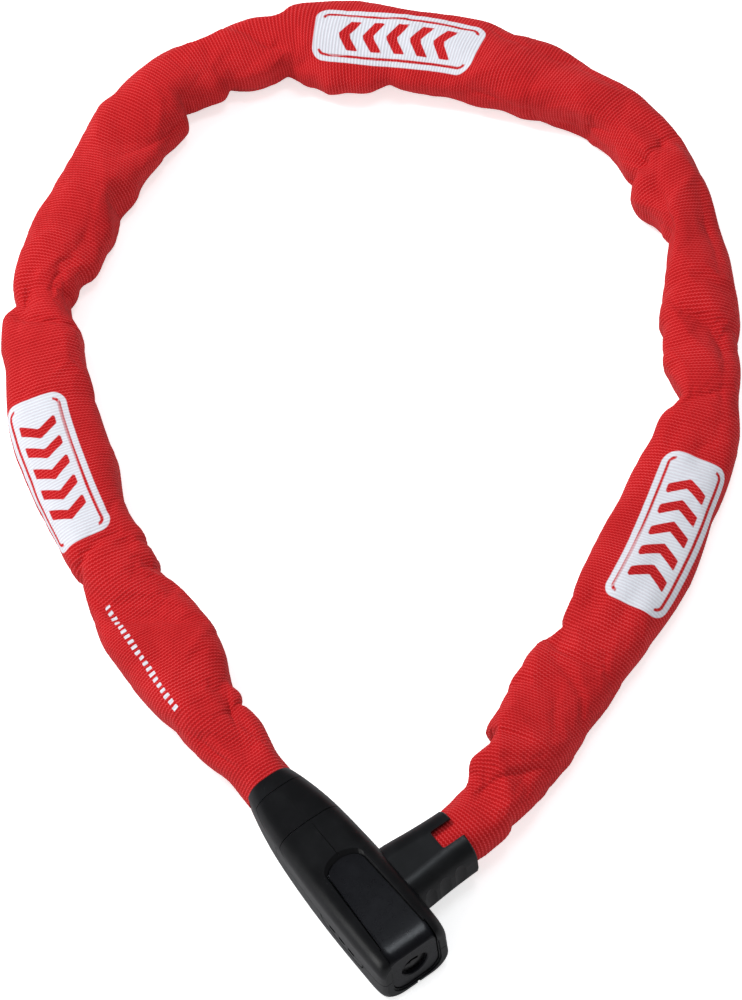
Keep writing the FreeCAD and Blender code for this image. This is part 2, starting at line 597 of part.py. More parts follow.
def make_latch():
    """Latch in its withdrawn position, with a ring and a peg round the drum."""
    latch = axis_box(4.0, 8.9, LATCH_T / 2, LATCH_HALF_H)
    latch = latch.cut(cylinder(PLUG_CORE_R + 0.15, (LATCH_TRAVEL, -5, AXIS_Z), Y_AXIS, 10))
    ring = axis_box(8.7, 14.2, LATCH_HALF_H, LATCH_HALF_H).cut(rod_along_x(4.45, 8.0, 16.0))
    latch = latch.cut(axis_box(8.8, 12, 5, 4)).fuse(ring)
    return latch.fuse(cylinder(PEG_R, (PEG_X, 0, AXIS_Z + 3.5), Z_AXIS, 1.6))


save(make_cam_drum(), "cam_drum")
save(make_latch(), "latch")
save(Part.makeCompound([
    spring(pitch=0.95, length=7.2, coil_radius=0.7, wire_radius=0.16,
           base=Vector(14.55, y, LATCH_SPRING_Z), rotation=FreeCAD.Rotation(Y_AXIS, 90))
    for y in LATCH_SPRING_YS]), "latch_spring")

# ---------------------------------------------------------------- plug and ferrule
GROOVE_HALF_W = 2.1
TIP_CHAMFER = 1.0
PLUG_END_Y = 21.4

FERRULE_CORNER_R = 7.0
FERRULE_RIM = 0.5        # length of the bevelled outer rim
# y, half width, half height
FERRULE_STATIONS = [
    (FERRULE_Y0, FERRULE_ROOT_HALF_W, FERRULE_ROOT_HALF_H),
    (16.0, 11.3, 9.75),
    (22.0, 10.8, 9.75),
    (28.0, 10.4, 9.75),
    (33.0, 10.2, 9.75),
    (FERRULE_Y1 - FERRULE_RIM, 10.15, 9.75),
]
# y, half width, half height, corner radius
HOLLOW_STATIONS = [(21.0, 7.6, 7.0, 4.5), (28.0, 8.8, 8.5, 5.5), (36.5, 9.0, 8.75, 6.2)]
# Finger grips: y, half width there
GRIPS = [(17.4, 11.35), (23.2, 10.85), (29.2, 10.5)]
GRIP_R = 4.2
GRIP_OFFSET = 3.45       # grip centre beyond the half width
SLOT_HALF_W = 3.6
SLOT_Y0 = FERRULE_Y1 - 8.0
SLOT_CORNER_R = 0.8


def make_plug_pin():
    shank_y = PLUG_TIP_Y + TIP_CHAMFER
    pin = rod_along_y(PLUG_R, shank_y, PLUG_END_Y)
    pin = pin.fuse(cone(PLUG_R - TIP_CHAMFER, PLUG_R, (0, PLUG_TIP_Y, AXIS_Z),
                        Y_AXIS, TIP_CHAMFER))
    groove = rod_along_y(PLUG_R + 1, -GROOVE_HALF_W, GROOVE_HALF_W)
    pin = pin.cut(groove.cut(rod_along_y(PLUG_CORE_R, -GROOVE_HALF_W - 1, GROOVE_HALF_W + 1)))
    ears = box(-4.0, 4.0, 21.05, 32.6, AXIS_Z - 4.6, AXIS_Z + 4.6)
    ears = ears.cut(box(-6, 6, 22.0, 40, AXIS_Z - 2.5, AXIS_Z + 2.5))
    return pin.fuse(ears).cut(cylinder(JOINT_PIN_R, (0, FERRULE_PIN_Y, 0), Z_AXIS, 30))


def ferrule_slot():
    """Slot through top and underside, rounded at its inner corners."""
    corner_x = SLOT_HALF_W - SLOT_CORNER_R
    corner_y = SLOT_Y0 + SLOT_CORNER_R
    slot = box(-SLOT_HALF_W, SLOT_HALF_W, corner_y, FERRULE_Y1 + 2, -5, 40)
    slot = slot.fuse(box(-corner_x, corner_x, SLOT_Y0, FERRULE_Y1, -5, 40))
    for side in (-1, 1):
        slot = slot.fuse(cylinder(SLOT_CORNER_R, (side * corner_x, corner_y, -5), Z_AXIS, 45))
    return slot


def make_ferrule():
    sections = [ferrule_section(*station, FERRULE_CORNER_R) for station in FERRULE_STATIONS]
    ferrule = Part.makeLoft(sections, True, False)
    ferrule = ferrule.fuse(Part.makeLoft([
        ferrule_section(*FERRULE_STATIONS[-1], FERRULE_CORNER_R),
        ferrule_section(FERRULE_Y1, 9.75, 9.35, 6.7)], True, True))
    ferrule = ferrule.cut(rod_along_y(PLUG_R + 0.02, 8, 21.5))
    ferrule = ferrule.cut(Part.makeLoft([
        ferrule_section(*station) for station in HOLLOW_STATIONS], True, False))
    for y, half_width in GRIPS:
        for side in (-1, 1):
            ferrule = ferrule.cut(cylinder(
                GRIP_R, (side * (half_width + GRIP_OFFSET), y, -5), Z_AXIS, 35))
    return ferrule.cut(ferrule_slot())


save(make_plug_pin(), "plug_pin")
save(joint_pin(0, FERRULE_PIN_Y), "ferrule_pin")
save(make_ferrule(), "ferrule")

# ---------------------------------------------------------------- chain
WIRE_R = 1.9
LINK_INNER_W = 5.9
LINK_SLACK = 0.8         # free play between two link crowns
LINK_COUNT = len(JOINTS) - 1


def make_link(start, end, upright):
    """Oblong link between two joints, lying flat or standing upright."""
    start, end = Vector(*start), Vector(*end)
    along = end.sub(start)
    length = along.Length
    along.normalize()
    bend_r = LINK_INNER_W / 2 + WIRE_R
    half = (length + LINK_SLACK) / 2 + WIRE_R - bend_r      # half of the straight part
    straights = [cylinder(WIRE_R, (-half, y, 0), X_AXIS, 2 * half) for y in (bend_r, -bend_r)]
    bends = []
    for sign in (1, -1):
        centre = Vector(sign * half, 0, 0)
        bend = Part.makeTorus(bend_r, WIRE_R, centre, Z_AXIS, -180, 180, 180)
        bend.rotate(centre, Z_AXIS, -90 * sign)
        bends.append(bend)
    link = straights[0].fuse([straights[1]] + bends)

    side = Z_AXIS.cross(along)
    side.normalize()
    above = along.cross(side)
    # The link lies in the plane of along and across.
    across, normal = (above, side * -1) if upright else (side, above)
    middle = (start + end) * 0.5
    link.transformShape(FreeCAD.Matrix(
        along.x, across.x, normal.x, middle.x,
        along.y, across.y, normal.y, middle.y,
        along.z, across.z, normal.z, middle.z,
        0, 0, 0, 1))
    return link


for i in range(LINK_COUNT):
    save(make_link(JOINTS[i], JOINTS[i + 1], upright=i % 2 == 1), f"link_{i + 1:02d}")

# ---------------------------------------------------------------- sleeve
SLEEVE_WALL = 1.1
SLEEVE_GAP = 2.0         # gap between neighbouring segments
SLEEVE_HALF_H = 8.9      # half height of the free sleeve
NECK_HALF_W, NECK_HALF_H = 8.9, 8.3      # sleeve half sizes at the neck
FERRULE_HALF_W = 9.8                     # sleeve half width at the ferrule
SLEEVE_POWER = 2.6       # superellipse exponent of the cross-section
SECTION_POINTS = 16
SEGMENT_SECTIONS = 9
INNER_OVERRUN = 1.0      # how far the hollow runs past each end of a segment

# Path length from the neck joint to each point of the centreline
path_lengths = [0.0]
for a, b in zip(SLEEVE_PATH, SLEEVE_PATH[1:]):
    path_lengths.append(path_lengths[-1] + math.dist(a[:3], b[:3]))
PATH_END = path_lengths[-1]


def path_at(distance):
    """x, y, z and half width at a distance along the centreline."""
    distance = min(max(distance, 0.0), PATH_END)
    i = next(i for i in range(1, len(path_lengths)) if path_lengths[i] >= distance)
    fraction = (distance - path_lengths[i - 1]) / (path_lengths[i] - path_lengths[i - 1])
    return [a + fraction * (b - a) for a, b in zip(SLEEVE_PATH[i - 1], SLEEVE_PATH[i])]


def nearest_distance(point):
    """Distance along the centreline nearest to a point, in steps of 0.5."""
    return min((0.5 * i for i in range(int(2 * PATH_END) + 1)),
               key=lambda distance: math.dist(path_at(distance)[:3], point))


def ease(value):
    value = min(max(value, 0.0), 1.0)
    return value * value * (3 - 2 * value)


def signed_power(value):
    return math.copysign(abs(value) ** (2.0 / SLEEVE_POWER), value)


def sleeve_section(distance, inset):
    x, y, z, half_width = path_at(distance)
    tangent = Vector(*path_at(distance + 3.0)[:3]) - Vector(*path_at(distance - 3.0)[:3])
    tangent.normalize()
    side = Z_AXIS.cross(tangent)
    side.normalize()
    above = tangent.cross(side)
    # The sleeve narrows towards the neck and the ferrule.
    from_neck = distance - 9.0
    from_ferrule = PATH_END - 11.0 - distance
    half_width = NECK_HALF_W + (half_width - NECK_HALF_W) * ease(from_neck / 34.0)
    half_width = FERRULE_HALF_W + (half_width - FERRULE_HALF_W) * ease(from_ferrule / 40.0)
    half_height = NECK_HALF_H + (SLEEVE_HALF_H - NECK_HALF_H) * ease(from_neck / 30.0)
    points = []
    for i in range(SECTION_POINTS):
        angle = 2 * math.pi * i / SECTION_POINTS
        points.append(Vector(x, y, z)
                      + side * ((half_width - inset) * signed_power(math.cos(angle)))
                      + above * ((half_height - inset) * signed_power(math.sin(angle))))
    curve = Part.BSplineCurve()
    curve.interpolate(Points=points, PeriodicFlag=True)
    return Part.Wire([curve.toShape()])


def sleeve_loft(start, end, inset):
    return Part.makeLoft([
        sleeve_section(start + (end - start) * i / (SEGMENT_SECTIONS - 1), inset)
        for i in range(SEGMENT_SECTIONS)], True, False)


def make_sleeve_segment(start, end):
    hollow = sleeve_loft(start - INNER_OVERRUN, end + INNER_OVERRUN, SLEEVE_WALL)
    return sleeve_loft(start, end, 0.0).cut(hollow)


# Segments meet at the middle of every second link.
bounds = [9.2]
for i in range(2, LINK_COUNT - 1, 2):
    bounds.append(nearest_distance([(a + b) / 2 for a, b in zip(JOINTS[i], JOINTS[i + 1])]))
bounds.append(PATH_END - 10.8)

last = len(bounds) - 2
for i in range(last + 1):
    start = bounds[i] + (SLEEVE_GAP / 2 if i > 0 else 0)
    end = bounds[i + 1] - (SLEEVE_GAP / 2 if i < last else 0)
    save(make_sleeve_segment(start, end), f"sleeve_{i + 1:02d}")
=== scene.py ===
# A chain lock in a red woven sleeve, lying flat on the floor (z = 0) in a closed loop.
# Seen from above, the chain leaves the neck pin at x = -45, runs clockwise out to about
# x = -307, y = 250, and comes back to the ferrule pin at y = 27. The script works in
# millimetres and turns them into metres when meshes are made. Stage, lights and camera
# are in metres.
import math
import bpy
import numpy as np
from mathutils import Matrix, Vector


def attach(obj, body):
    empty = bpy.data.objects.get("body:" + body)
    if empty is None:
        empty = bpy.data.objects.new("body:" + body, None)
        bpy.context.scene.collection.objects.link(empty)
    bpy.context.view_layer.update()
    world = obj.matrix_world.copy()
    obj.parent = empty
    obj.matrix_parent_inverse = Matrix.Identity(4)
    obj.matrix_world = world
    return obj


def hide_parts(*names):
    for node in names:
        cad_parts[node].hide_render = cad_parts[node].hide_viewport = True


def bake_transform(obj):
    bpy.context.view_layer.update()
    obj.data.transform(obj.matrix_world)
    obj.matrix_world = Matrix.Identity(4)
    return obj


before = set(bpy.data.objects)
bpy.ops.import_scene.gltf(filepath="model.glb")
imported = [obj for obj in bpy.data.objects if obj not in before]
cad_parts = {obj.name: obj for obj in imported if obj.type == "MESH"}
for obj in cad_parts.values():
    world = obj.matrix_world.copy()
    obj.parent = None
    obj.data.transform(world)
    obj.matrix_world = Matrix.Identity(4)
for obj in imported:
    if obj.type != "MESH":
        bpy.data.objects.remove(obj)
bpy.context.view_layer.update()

MM = 0.001

# ------------------------------------------------------------ measured shape
# sleeve centreline at equal steps from the neck pin to the ferrule pin:
# x, y, z, half width on the outer and on the inner side of the loop, half height
PROFILE_STEP = 3.0
PROFILE = np.array([
    (-45.00, 0.00, 12.50, 7.60, 7.60, 7.40), (-48.00, 0.00, 12.50, 7.60, 7.60, 7.40),
    (-51.00, 0.00, 12.50, 7.61, 7.61, 7.40), (-54.00, 0.01, 12.50, 7.67, 7.67, 7.50),
    (-57.00, 0.02, 12.47, 7.88, 7.86, 7.65), (-60.00, 0.03, 12.40, 8.24, 8.18, 7.80),
    (-63.00, 0.06, 12.31, 8.69, 8.59, 7.95), (-66.00, 0.09, 12.18, 9.22, 9.06, 8.09),
    (-69.00, 0.13, 12.03, 9.77, 9.56, 8.24), (-72.00, 0.18, 11.87, 10.30, 10.05, 8.39),
    (-75.00, 0.24, 11.68, 10.79, 10.49, 8.54), (-78.00, 0.30, 11.48, 11.19, 10.85, 8.69),
    (-81.00, 0.37, 11.27, 11.46, 11.10, 8.84), (-84.00, 0.45, 11.05, 11.62, 11.22, 8.99),
    (-86.99, 0.56, 10.82, 11.84, 11.36, 9.13), (-89.99, 0.72, 10.60, 12.23, 11.70, 9.28),
    (-92.98, 0.92, 10.38, 12.89, 12.28, 9.16), (-95.97, 1.17, 10.16, 13.52, 13.00, 9.02),
    (-98.96, 1.47, 9.95, 13.95, 13.67, 8.86), (-101.94, 1.81, 9.76, 14.31, 14.39, 8.70),
    (-104.92, 2.17, 9.58, 14.66, 14.81, 8.54), (-107.89, 2.55, 9.41, 15.04, 15.15, 8.40),
    (-110.87, 2.93, 9.27, 15.43, 15.40, 8.27), (-113.85, 3.30, 9.16, 15.61, 15.80, 8.18),
    (-116.83, 3.64, 9.07, 15.96, 16.05, 8.12), (-119.81, 3.96, 9.02, 16.07, 16.24, 8.09),
    (-122.79, 4.25, 9.0, 16.10, 16.43, 8.10), (-125.78, 4.50, 9.0, 16.26, 16.54, 8.15),
    (-128.78, 4.73, 9.0, 16.15, 16.23, 8.23), (-131.77, 4.93, 9.0, 15.78, 15.83, 8.34),
    (-134.76, 5.13, 9.0, 15.35, 15.12, 8.47), (-137.75, 5.34, 9.0, 14.81, 14.39, 8.62),
    (-140.74, 5.58, 9.0, 14.24, 13.45, 8.78), (-143.73, 5.87, 9.0, 13.98, 13.07, 8.93),
    (-146.71, 6.21, 9.0, 13.59, 12.91, 9.06), (-149.68, 6.62, 9.0, 13.28, 12.82, 9.18),
    (-152.65, 7.08, 9.0, 13.16, 12.70, 9.26), (-155.61, 7.58, 9.0, 12.96, 13.14, 9.32),
    (-158.56, 8.11, 9.0, 13.21, 13.78, 9.36), (-161.51, 8.66, 9.0, 13.52, 13.66, 9.37),
    (-164.45, 9.24, 9.0, 13.59, 13.30, 9.35), (-167.39, 9.84, 9.0, 13.47, 13.08, 9.32),
    (-170.32, 10.47, 9.0, 13.36, 13.07, 9.26), (-173.25, 11.12, 9.0, 13.49, 13.31, 9.17),
    (-176.17, 11.82, 9.0, 13.69, 13.39, 9.07), (-179.08, 12.54, 9.0, 13.82, 13.54, 8.95),
    (-181.98, 13.30, 9.0, 13.93, 13.85, 8.81), (-184.88, 14.08, 9.0, 14.28, 14.17, 8.67),
    (-187.77, 14.88, 9.0, 14.59, 14.50, 8.52), (-190.66, 15.71, 9.0, 14.80, 14.81, 8.39),
    (-193.54, 16.55, 9.0, 15.02, 15.02, 8.27), (-196.41, 17.40, 9.0, 15.34, 15.25, 8.17),
    (-199.28, 18.28, 9.0, 15.50, 15.25, 8.09), (-202.14, 19.18, 9.0, 15.67, 15.45, 8.03),
    (-204.99, 20.11, 9.0, 15.87, 15.61, 7.99), (-207.83, 21.08, 9.0, 15.91, 15.66, 7.97),
    (-210.66, 22.09, 9.0, 15.85, 15.64, 7.96), (-213.46, 23.15, 9.0, 15.96, 15.62, 7.97),
    (-216.25, 24.26, 9.0, 15.87, 15.49, 8.00), (-219.01, 25.43, 9.0, 15.65, 15.22, 8.05),
    (-221.75, 26.65, 9.0, 15.58, 15.33, 8.11), (-224.47, 27.92, 9.0, 15.37, 15.20, 8.19),
    (-227.17, 29.23, 9.0, 15.05, 14.94, 8.28), (-229.85, 30.57, 9.0, 14.69, 14.61, 8.39),
    (-232.52, 31.94, 9.0, 14.36, 14.11, 8.50), (-235.18, 33.33, 9.0, 13.99, 13.88, 8.61),
    (-237.83, 34.74, 9.0, 13.85, 13.89, 8.73), (-240.48, 36.15, 9.0, 13.97, 14.10, 8.84),
    (-243.11, 37.58, 9.0, 14.16, 14.44, 8.96), (-245.74, 39.04, 9.0, 14.05, 14.16, 9.06),
    (-248.34, 40.52, 9.0, 13.70, 13.17, 9.16), (-250.91, 42.07, 9.0, 13.37, 11.95, 9.24),
    (-253.43, 43.70, 9.0, 12.82, 11.14, 9.31), (-255.88, 45.44, 9.0, 11.71, 10.76, 9.35),
    (-258.23, 47.30, 9.0, 11.28, 10.59, 9.36), (-260.46, 49.31, 9.0, 11.64, 10.45, 9.34),
    (-262.55, 51.45, 9.0, 11.89, 10.27, 9.28), (-264.51, 53.72, 9.0, 12.13, 10.38, 9.20),
    (-266.35, 56.09, 9.0, 12.70, 10.69, 9.09), (-268.09, 58.54, 9.0, 13.41, 11.89, 8.97),
    (-269.77, 61.02, 9.0, 14.03, 14.08, 8.85), (-271.43, 63.52, 9.0, 14.30, 15.01, 8.74),
    (-273.10, 66.02, 9.0, 14.49, 15.14, 8.66), (-274.80, 68.49, 9.0, 14.79, 15.02, 8.62),
    (-276.54, 70.93, 9.0, 14.89, 15.02, 8.63), (-278.30, 73.36, 9.0, 14.75, 15.13, 8.68),
    (-280.09, 75.77, 9.0, 14.55, 14.53, 8.76), (-281.86, 78.19, 9.0, 14.04, 13.25, 8.85),
    (-283.61, 80.63, 9.0, 13.38, 12.30, 8.95), (-285.31, 83.10, 9.0, 12.99, 11.82, 9.03),
    (-286.95, 85.61, 9.0, 13.02, 11.60, 9.07), (-288.51, 88.17, 9.0, 13.02, 12.18, 9.07),
    (-290.02, 90.77, 9.0, 13.11, 13.22, 9.03), (-291.46, 93.40, 9.0, 13.45, 13.75, 8.95),
    (-292.85, 96.05, 9.0, 13.61, 13.92, 8.84), (-294.21, 98.73, 9.0, 14.05, 14.29, 8.72),
    (-295.53, 101.43, 9.0, 14.38, 14.62, 8.59), (-296.80, 104.14, 9.0, 15.00, 15.02, 8.47),
    (-298.03, 106.88, 9.0, 15.38, 15.33, 8.38), (-299.22, 109.63, 9.0, 15.79, 15.54, 8.33),
    (-300.34, 112.41, 9.0, 16.00, 15.39, 8.31), (-301.41, 115.22, 9.0, 16.03, 15.17, 8.34),
    (-302.43, 118.04, 9.0, 15.31, 15.02, 8.41), (-303.39, 120.88, 9.0, 14.39, 14.77, 8.52),
    (-304.31, 123.74, 9.0, 14.20, 14.74, 8.65), (-305.16, 126.61, 9.0, 13.97, 14.69, 8.80),
    (-305.93, 129.51, 9.0, 13.50, 13.06, 8.95), (-306.59, 132.44, 9.0, 12.97, 10.28, 9.09),
    (-307.10, 135.40, 9.0, 12.63, 10.06, 9.21), (-307.42, 138.38, 9.0, 12.62, 10.65, 9.32),
    (-307.55, 141.37, 9.0, 13.06, 11.59, 9.39), (-307.47, 144.37, 9.0, 13.46, 12.33, 9.44),
    (-307.22, 147.36, 9.0, 13.23, 13.13, 9.46), (-306.81, 150.33, 9.0, 12.66, 13.15, 9.46),
    (-306.27, 153.28, 9.0, 12.60, 12.45, 9.43), (-305.63, 156.21, 9.0, 12.91, 11.54, 9.38),
    (-304.91, 159.13, 9.0, 13.14, 12.27, 9.32), (-304.12, 162.02, 9.0, 13.44, 13.27, 9.25),
    (-303.27, 164.90, 9.0, 13.70, 13.90, 9.17), (-302.36, 167.76, 9.0, 14.02, 14.30, 9.08),
    (-301.37, 170.59, 9.0, 14.01, 14.31, 8.98), (-300.29, 173.39, 9.0, 13.42, 13.49, 8.87),
    (-299.09, 176.13, 9.0, 13.07, 12.65, 8.76), (-297.72, 178.81, 9.0, 14.14, 13.28, 8.64),
    (-296.18, 181.38, 9.0, 16.71, 14.77, 8.51), (-294.47, 183.84, 9.0, 17.45, 15.93, 8.39),
    (-292.61, 186.19, 9.0, 17.85, 16.72, 8.27), (-290.62, 188.44, 9.0, 18.47, 17.28, 8.17),
    (-288.56, 190.62, 9.0, 19.10, 18.72, 8.09), (-286.46, 192.77, 9.0, 19.46, 20.41, 8.03),
    (-284.35, 194.90, 9.0, 19.79, 20.34, 7.98), (-282.25, 197.04, 9.0, 19.91, 19.56, 7.95),
    (-280.17, 199.20, 9.0, 19.65, 19.42, 7.93), (-278.10, 201.37, 9.0, 19.36, 19.56, 7.91),
    (-276.03, 203.54, 9.0, 18.94, 19.20, 7.91), (-273.95, 205.70, 9.0, 18.42, 17.76, 7.90),
    (-271.85, 207.84, 9.0, 17.76, 16.46, 7.90), (-269.71, 209.95, 9.0, 17.25, 16.43, 7.90),
    (-267.54, 212.03, 9.0, 17.02, 17.08, 7.90), (-265.34, 214.06, 9.0, 17.00, 17.45, 7.90),
    (-263.10, 216.06, 9.0, 16.96, 17.39, 7.90), (-260.83, 218.02, 9.0, 16.89, 17.12, 7.90),
    (-258.52, 219.93, 9.0, 17.17, 17.13, 7.90), (-256.16, 221.78, 9.0, 17.27, 16.81, 7.90),
    (-253.75, 223.57, 9.0, 17.42, 16.64, 7.90), (-251.28, 225.28, 9.0, 17.57, 16.76, 7.90),
    (-248.77, 226.91, 9.0, 17.50, 16.68, 7.91), (-246.21, 228.47, 9.0, 17.02, 16.77, 7.92),
    (-243.61, 229.98, 9.0, 16.24, 16.67, 7.94), (-240.99, 231.44, 9.0, 15.66, 16.41, 7.96),
    (-238.36, 232.87, 9.0, 15.54, 15.89, 8.00), (-235.71, 234.29, 9.0, 15.38, 15.54, 8.07),
    (-233.06, 235.70, 9.0, 15.67, 15.45, 8.15), (-230.41, 237.10, 9.0, 15.97, 15.53, 8.26),
    (-227.74, 238.48, 9.0, 15.83, 15.86, 8.40), (-225.06, 239.82, 9.0, 15.31, 15.26, 8.55),
    (-222.36, 241.13, 9.0, 14.60, 14.17, 8.72), (-219.64, 242.38, 9.0, 13.85, 13.20, 8.88),
    (-216.88, 243.56, 9.0, 13.25, 12.64, 9.04), (-214.08, 244.65, 9.0, 12.44, 11.90, 9.19),
    (-211.25, 245.65, 9.0, 11.70, 10.98, 9.31), (-208.39, 246.54, 9.0, 11.10, 10.23, 9.40),
    (-205.49, 247.32, 9.0, 10.87, 9.88, 9.47), (-202.57, 248.01, 9.0, 10.81, 10.29, 9.52),
    (-199.63, 248.59, 9.0, 10.82, 10.83, 9.56), (-196.67, 249.07, 9.0, 11.05, 10.85, 9.58),
    (-193.69, 249.44, 9.0, 11.26, 10.67, 9.59), (-190.71, 249.71, 9.0, 11.23, 10.54, 9.59),
    (-187.71, 249.85, 9.0, 11.34, 10.61, 9.60), (-184.71, 249.87, 9.0, 11.56, 10.64, 9.60),
    (-181.71, 249.75, 9.0, 11.56, 10.76, 9.60), (-178.72, 249.48, 9.0, 11.53, 10.88, 9.60),
    (-175.75, 249.08, 9.0, 11.59, 10.96, 9.60), (-172.80, 248.55, 9.0, 11.69, 10.84, 9.60),
    (-169.86, 247.92, 9.0, 11.80, 10.70, 9.60), (-166.95, 247.22, 9.0, 12.05, 11.13, 9.60),
    (-164.05, 246.46, 9.0, 12.09, 11.96, 9.60), (-161.15, 245.68, 9.0, 12.07, 12.67, 9.60),
    (-158.26, 244.88, 9.0, 11.99, 12.87, 9.60), (-155.37, 244.07, 9.0, 11.83, 12.05, 9.60),
    (-152.49, 243.24, 9.0, 11.35, 10.63, 9.60), (-149.61, 242.38, 9.0, 10.80, 9.90, 9.60),
    (-146.76, 241.46, 9.0, 10.27, 9.39, 9.60), (-143.93, 240.45, 9.0, 9.84, 8.68, 9.60),
    (-141.15, 239.33, 9.0, 9.51, 8.16, 9.60), (-138.41, 238.10, 9.0, 9.48, 8.47, 9.60),
    (-135.73, 236.76, 9.0, 9.79, 9.17, 9.60), (-133.11, 235.30, 9.0, 10.24, 9.70, 9.60),
    (-130.54, 233.75, 9.0, 10.61, 10.21, 9.60), (-128.02, 232.13, 9.0, 10.84, 10.62, 9.60),
    (-125.53, 230.45, 9.0, 11.06, 10.93, 9.60), (-123.08, 228.73, 9.0, 11.27, 11.31, 9.60),
    (-120.64, 226.98, 9.0, 11.55, 11.47, 9.60), (-118.21, 225.21, 9.0, 11.84, 11.92, 9.60),
    (-115.79, 223.44, 9.0, 12.05, 12.45, 9.60), (-113.37, 221.67, 9.0, 12.31, 12.62, 9.60),
    (-110.95, 219.89, 9.0, 12.45, 12.42, 9.60), (-108.53, 218.12, 9.0, 12.47, 12.09, 9.60),
    (-106.11, 216.35, 9.0, 12.46, 12.07, 9.60), (-103.69, 214.58, 9.0, 12.46, 12.19, 9.60),
    (-101.26, 212.82, 9.0, 12.58, 12.58, 9.60), (-98.82, 211.07, 9.0, 12.60, 13.08, 9.60),
    (-96.38, 209.33, 9.0, 12.55, 13.38, 9.59), (-93.93, 207.60, 9.0, 12.39, 12.93, 9.59),
    (-91.48, 205.86, 9.0, 12.11, 12.07, 9.58), (-89.06, 204.10, 9.0, 11.69, 11.09, 9.56),
    (-86.68, 202.27, 9.0, 11.20, 9.84, 9.52), (-84.37, 200.35, 9.0, 10.81, 9.14, 9.48),
    (-82.16, 198.33, 9.0, 10.92, 9.03, 9.41), (-80.06, 196.18, 9.0, 11.58, 9.92, 9.32),
    (-78.09, 193.92, 9.0, 12.50, 11.22, 9.20), (-76.24, 191.56, 9.0, 13.29, 12.50, 9.07),
    (-74.48, 189.13, 9.0, 13.82, 13.36, 8.91), (-72.80, 186.64, 9.0, 14.36, 13.98, 8.75),
    (-71.17, 184.12, 9.0, 14.60, 14.59, 8.59), (-69.56, 181.59, 9.0, 14.89, 15.18, 8.44),
    (-67.96, 179.06, 9.0, 15.15, 15.49, 8.30), (-66.35, 176.53, 9.0, 15.28, 15.56, 8.18),
    (-64.72, 174.01, 9.0, 15.44, 15.52, 8.09), (-63.08, 171.50, 9.0, 15.69, 15.80, 8.02),
    (-61.42, 168.99, 9.0, 15.84, 15.89, 7.98), (-59.77, 166.49, 9.0, 15.86, 15.94, 7.94),
    (-58.12, 163.98, 9.0, 15.90, 15.87, 7.92), (-56.48, 161.47, 9.0, 16.13, 15.90, 7.91),
    (-54.86, 158.95, 9.0, 16.35, 16.05, 7.91), (-53.26, 156.41, 9.0, 16.53, 16.22, 7.90),
    (-51.69, 153.85, 9.0, 16.67, 16.49, 7.90), (-50.13, 151.29, 9.0, 16.79, 16.67, 7.90),
    (-48.61, 148.71, 9.0, 16.90, 16.70, 7.90), (-47.10, 146.11, 9.0, 16.91, 16.65, 7.90),
    (-45.62, 143.50, 9.0, 16.94, 16.78, 7.90), (-44.17, 140.88, 9.0, 16.86, 16.69, 7.91),
    (-42.74, 138.24, 9.0, 16.83, 16.64, 7.91), (-41.35, 135.58, 9.0, 16.80, 16.52, 7.92),
    (-39.99, 132.90, 9.0, 16.62, 16.35, 7.94), (-38.67, 130.21, 9.0, 16.34, 16.14, 7.97),
    (-37.38, 127.51, 9.0, 16.03, 15.93, 8.00), (-36.12, 124.78, 9.0, 15.69, 15.62, 8.05),
    (-34.89, 122.04, 9.0, 15.38, 15.57, 8.11), (-33.70, 119.29, 9.0, 15.26, 15.26, 8.17),
    (-32.55, 116.52, 9.0, 15.02, 14.77, 8.24), (-31.43, 113.74, 9.0, 14.66, 14.13, 8.30),
    (-30.35, 110.94, 9.0, 14.42, 13.71, 8.36), (-29.29, 108.13, 9.0, 14.31, 13.91, 8.41),
    (-28.25, 105.32, 9.0, 14.35, 14.43, 8.45), (-27.20, 102.51, 9.0, 14.29, 14.70, 8.48),
    (-26.12, 99.71, 9.0, 14.30, 14.62, 8.50), (-25.02, 96.92, 9.02, 14.29, 14.43, 8.51),
    (-23.87, 94.15, 9.07, 14.28, 14.25, 8.53), (-22.68, 91.39, 9.16, 14.18, 14.46, 8.54),
    (-21.46, 88.65, 9.27, 14.23, 14.70, 8.55), (-20.19, 85.93, 9.41, 14.23, 14.71, 8.57),
    (-18.90, 83.22, 9.57, 14.19, 14.66, 8.59), (-17.60, 80.52, 9.75, 14.08, 14.56, 8.62),
    (-16.28, 77.83, 9.95, 13.97, 14.46, 8.65), (-14.96, 75.13, 10.16, 13.80, 14.26, 8.67),
    (-13.65, 72.43, 10.38, 13.53, 13.97, 8.66), (-12.34, 69.73, 10.60, 13.19, 13.60, 8.61),
    (-11.04, 67.03, 10.82, 12.79, 13.16, 8.56), (-9.75, 64.33, 11.05, 12.35, 12.68, 8.50),
    (-8.46, 61.61, 11.27, 11.89, 12.17, 8.45), (-7.20, 58.89, 11.48, 11.41, 11.64, 8.40),
    (-5.96, 56.16, 11.68, 10.93, 11.12, 8.35), (-4.78, 53.40, 11.86, 10.47, 10.62, 8.30),
    (-3.68, 50.61, 12.03, 10.04, 10.15, 8.25), (-2.71, 47.78, 12.18, 9.66, 9.73, 8.20),
    (-1.88, 44.89, 12.30, 9.34, 9.39, 8.15), (-1.23, 41.96, 12.40, 9.11, 9.13, 8.09),
    (-0.75, 39.00, 12.47, 8.96, 8.97, 8.04), (-0.43, 36.02, 12.50, 8.91, 8.91, 8.00),
    (-0.22, 33.03, 12.50, 8.90, 8.90, 8.00), (-0.09, 30.03, 12.50, 8.90, 8.90, 8.00),
    (-0.00, 27.03, 12.50, 8.90, 8.90, 8.00),
])
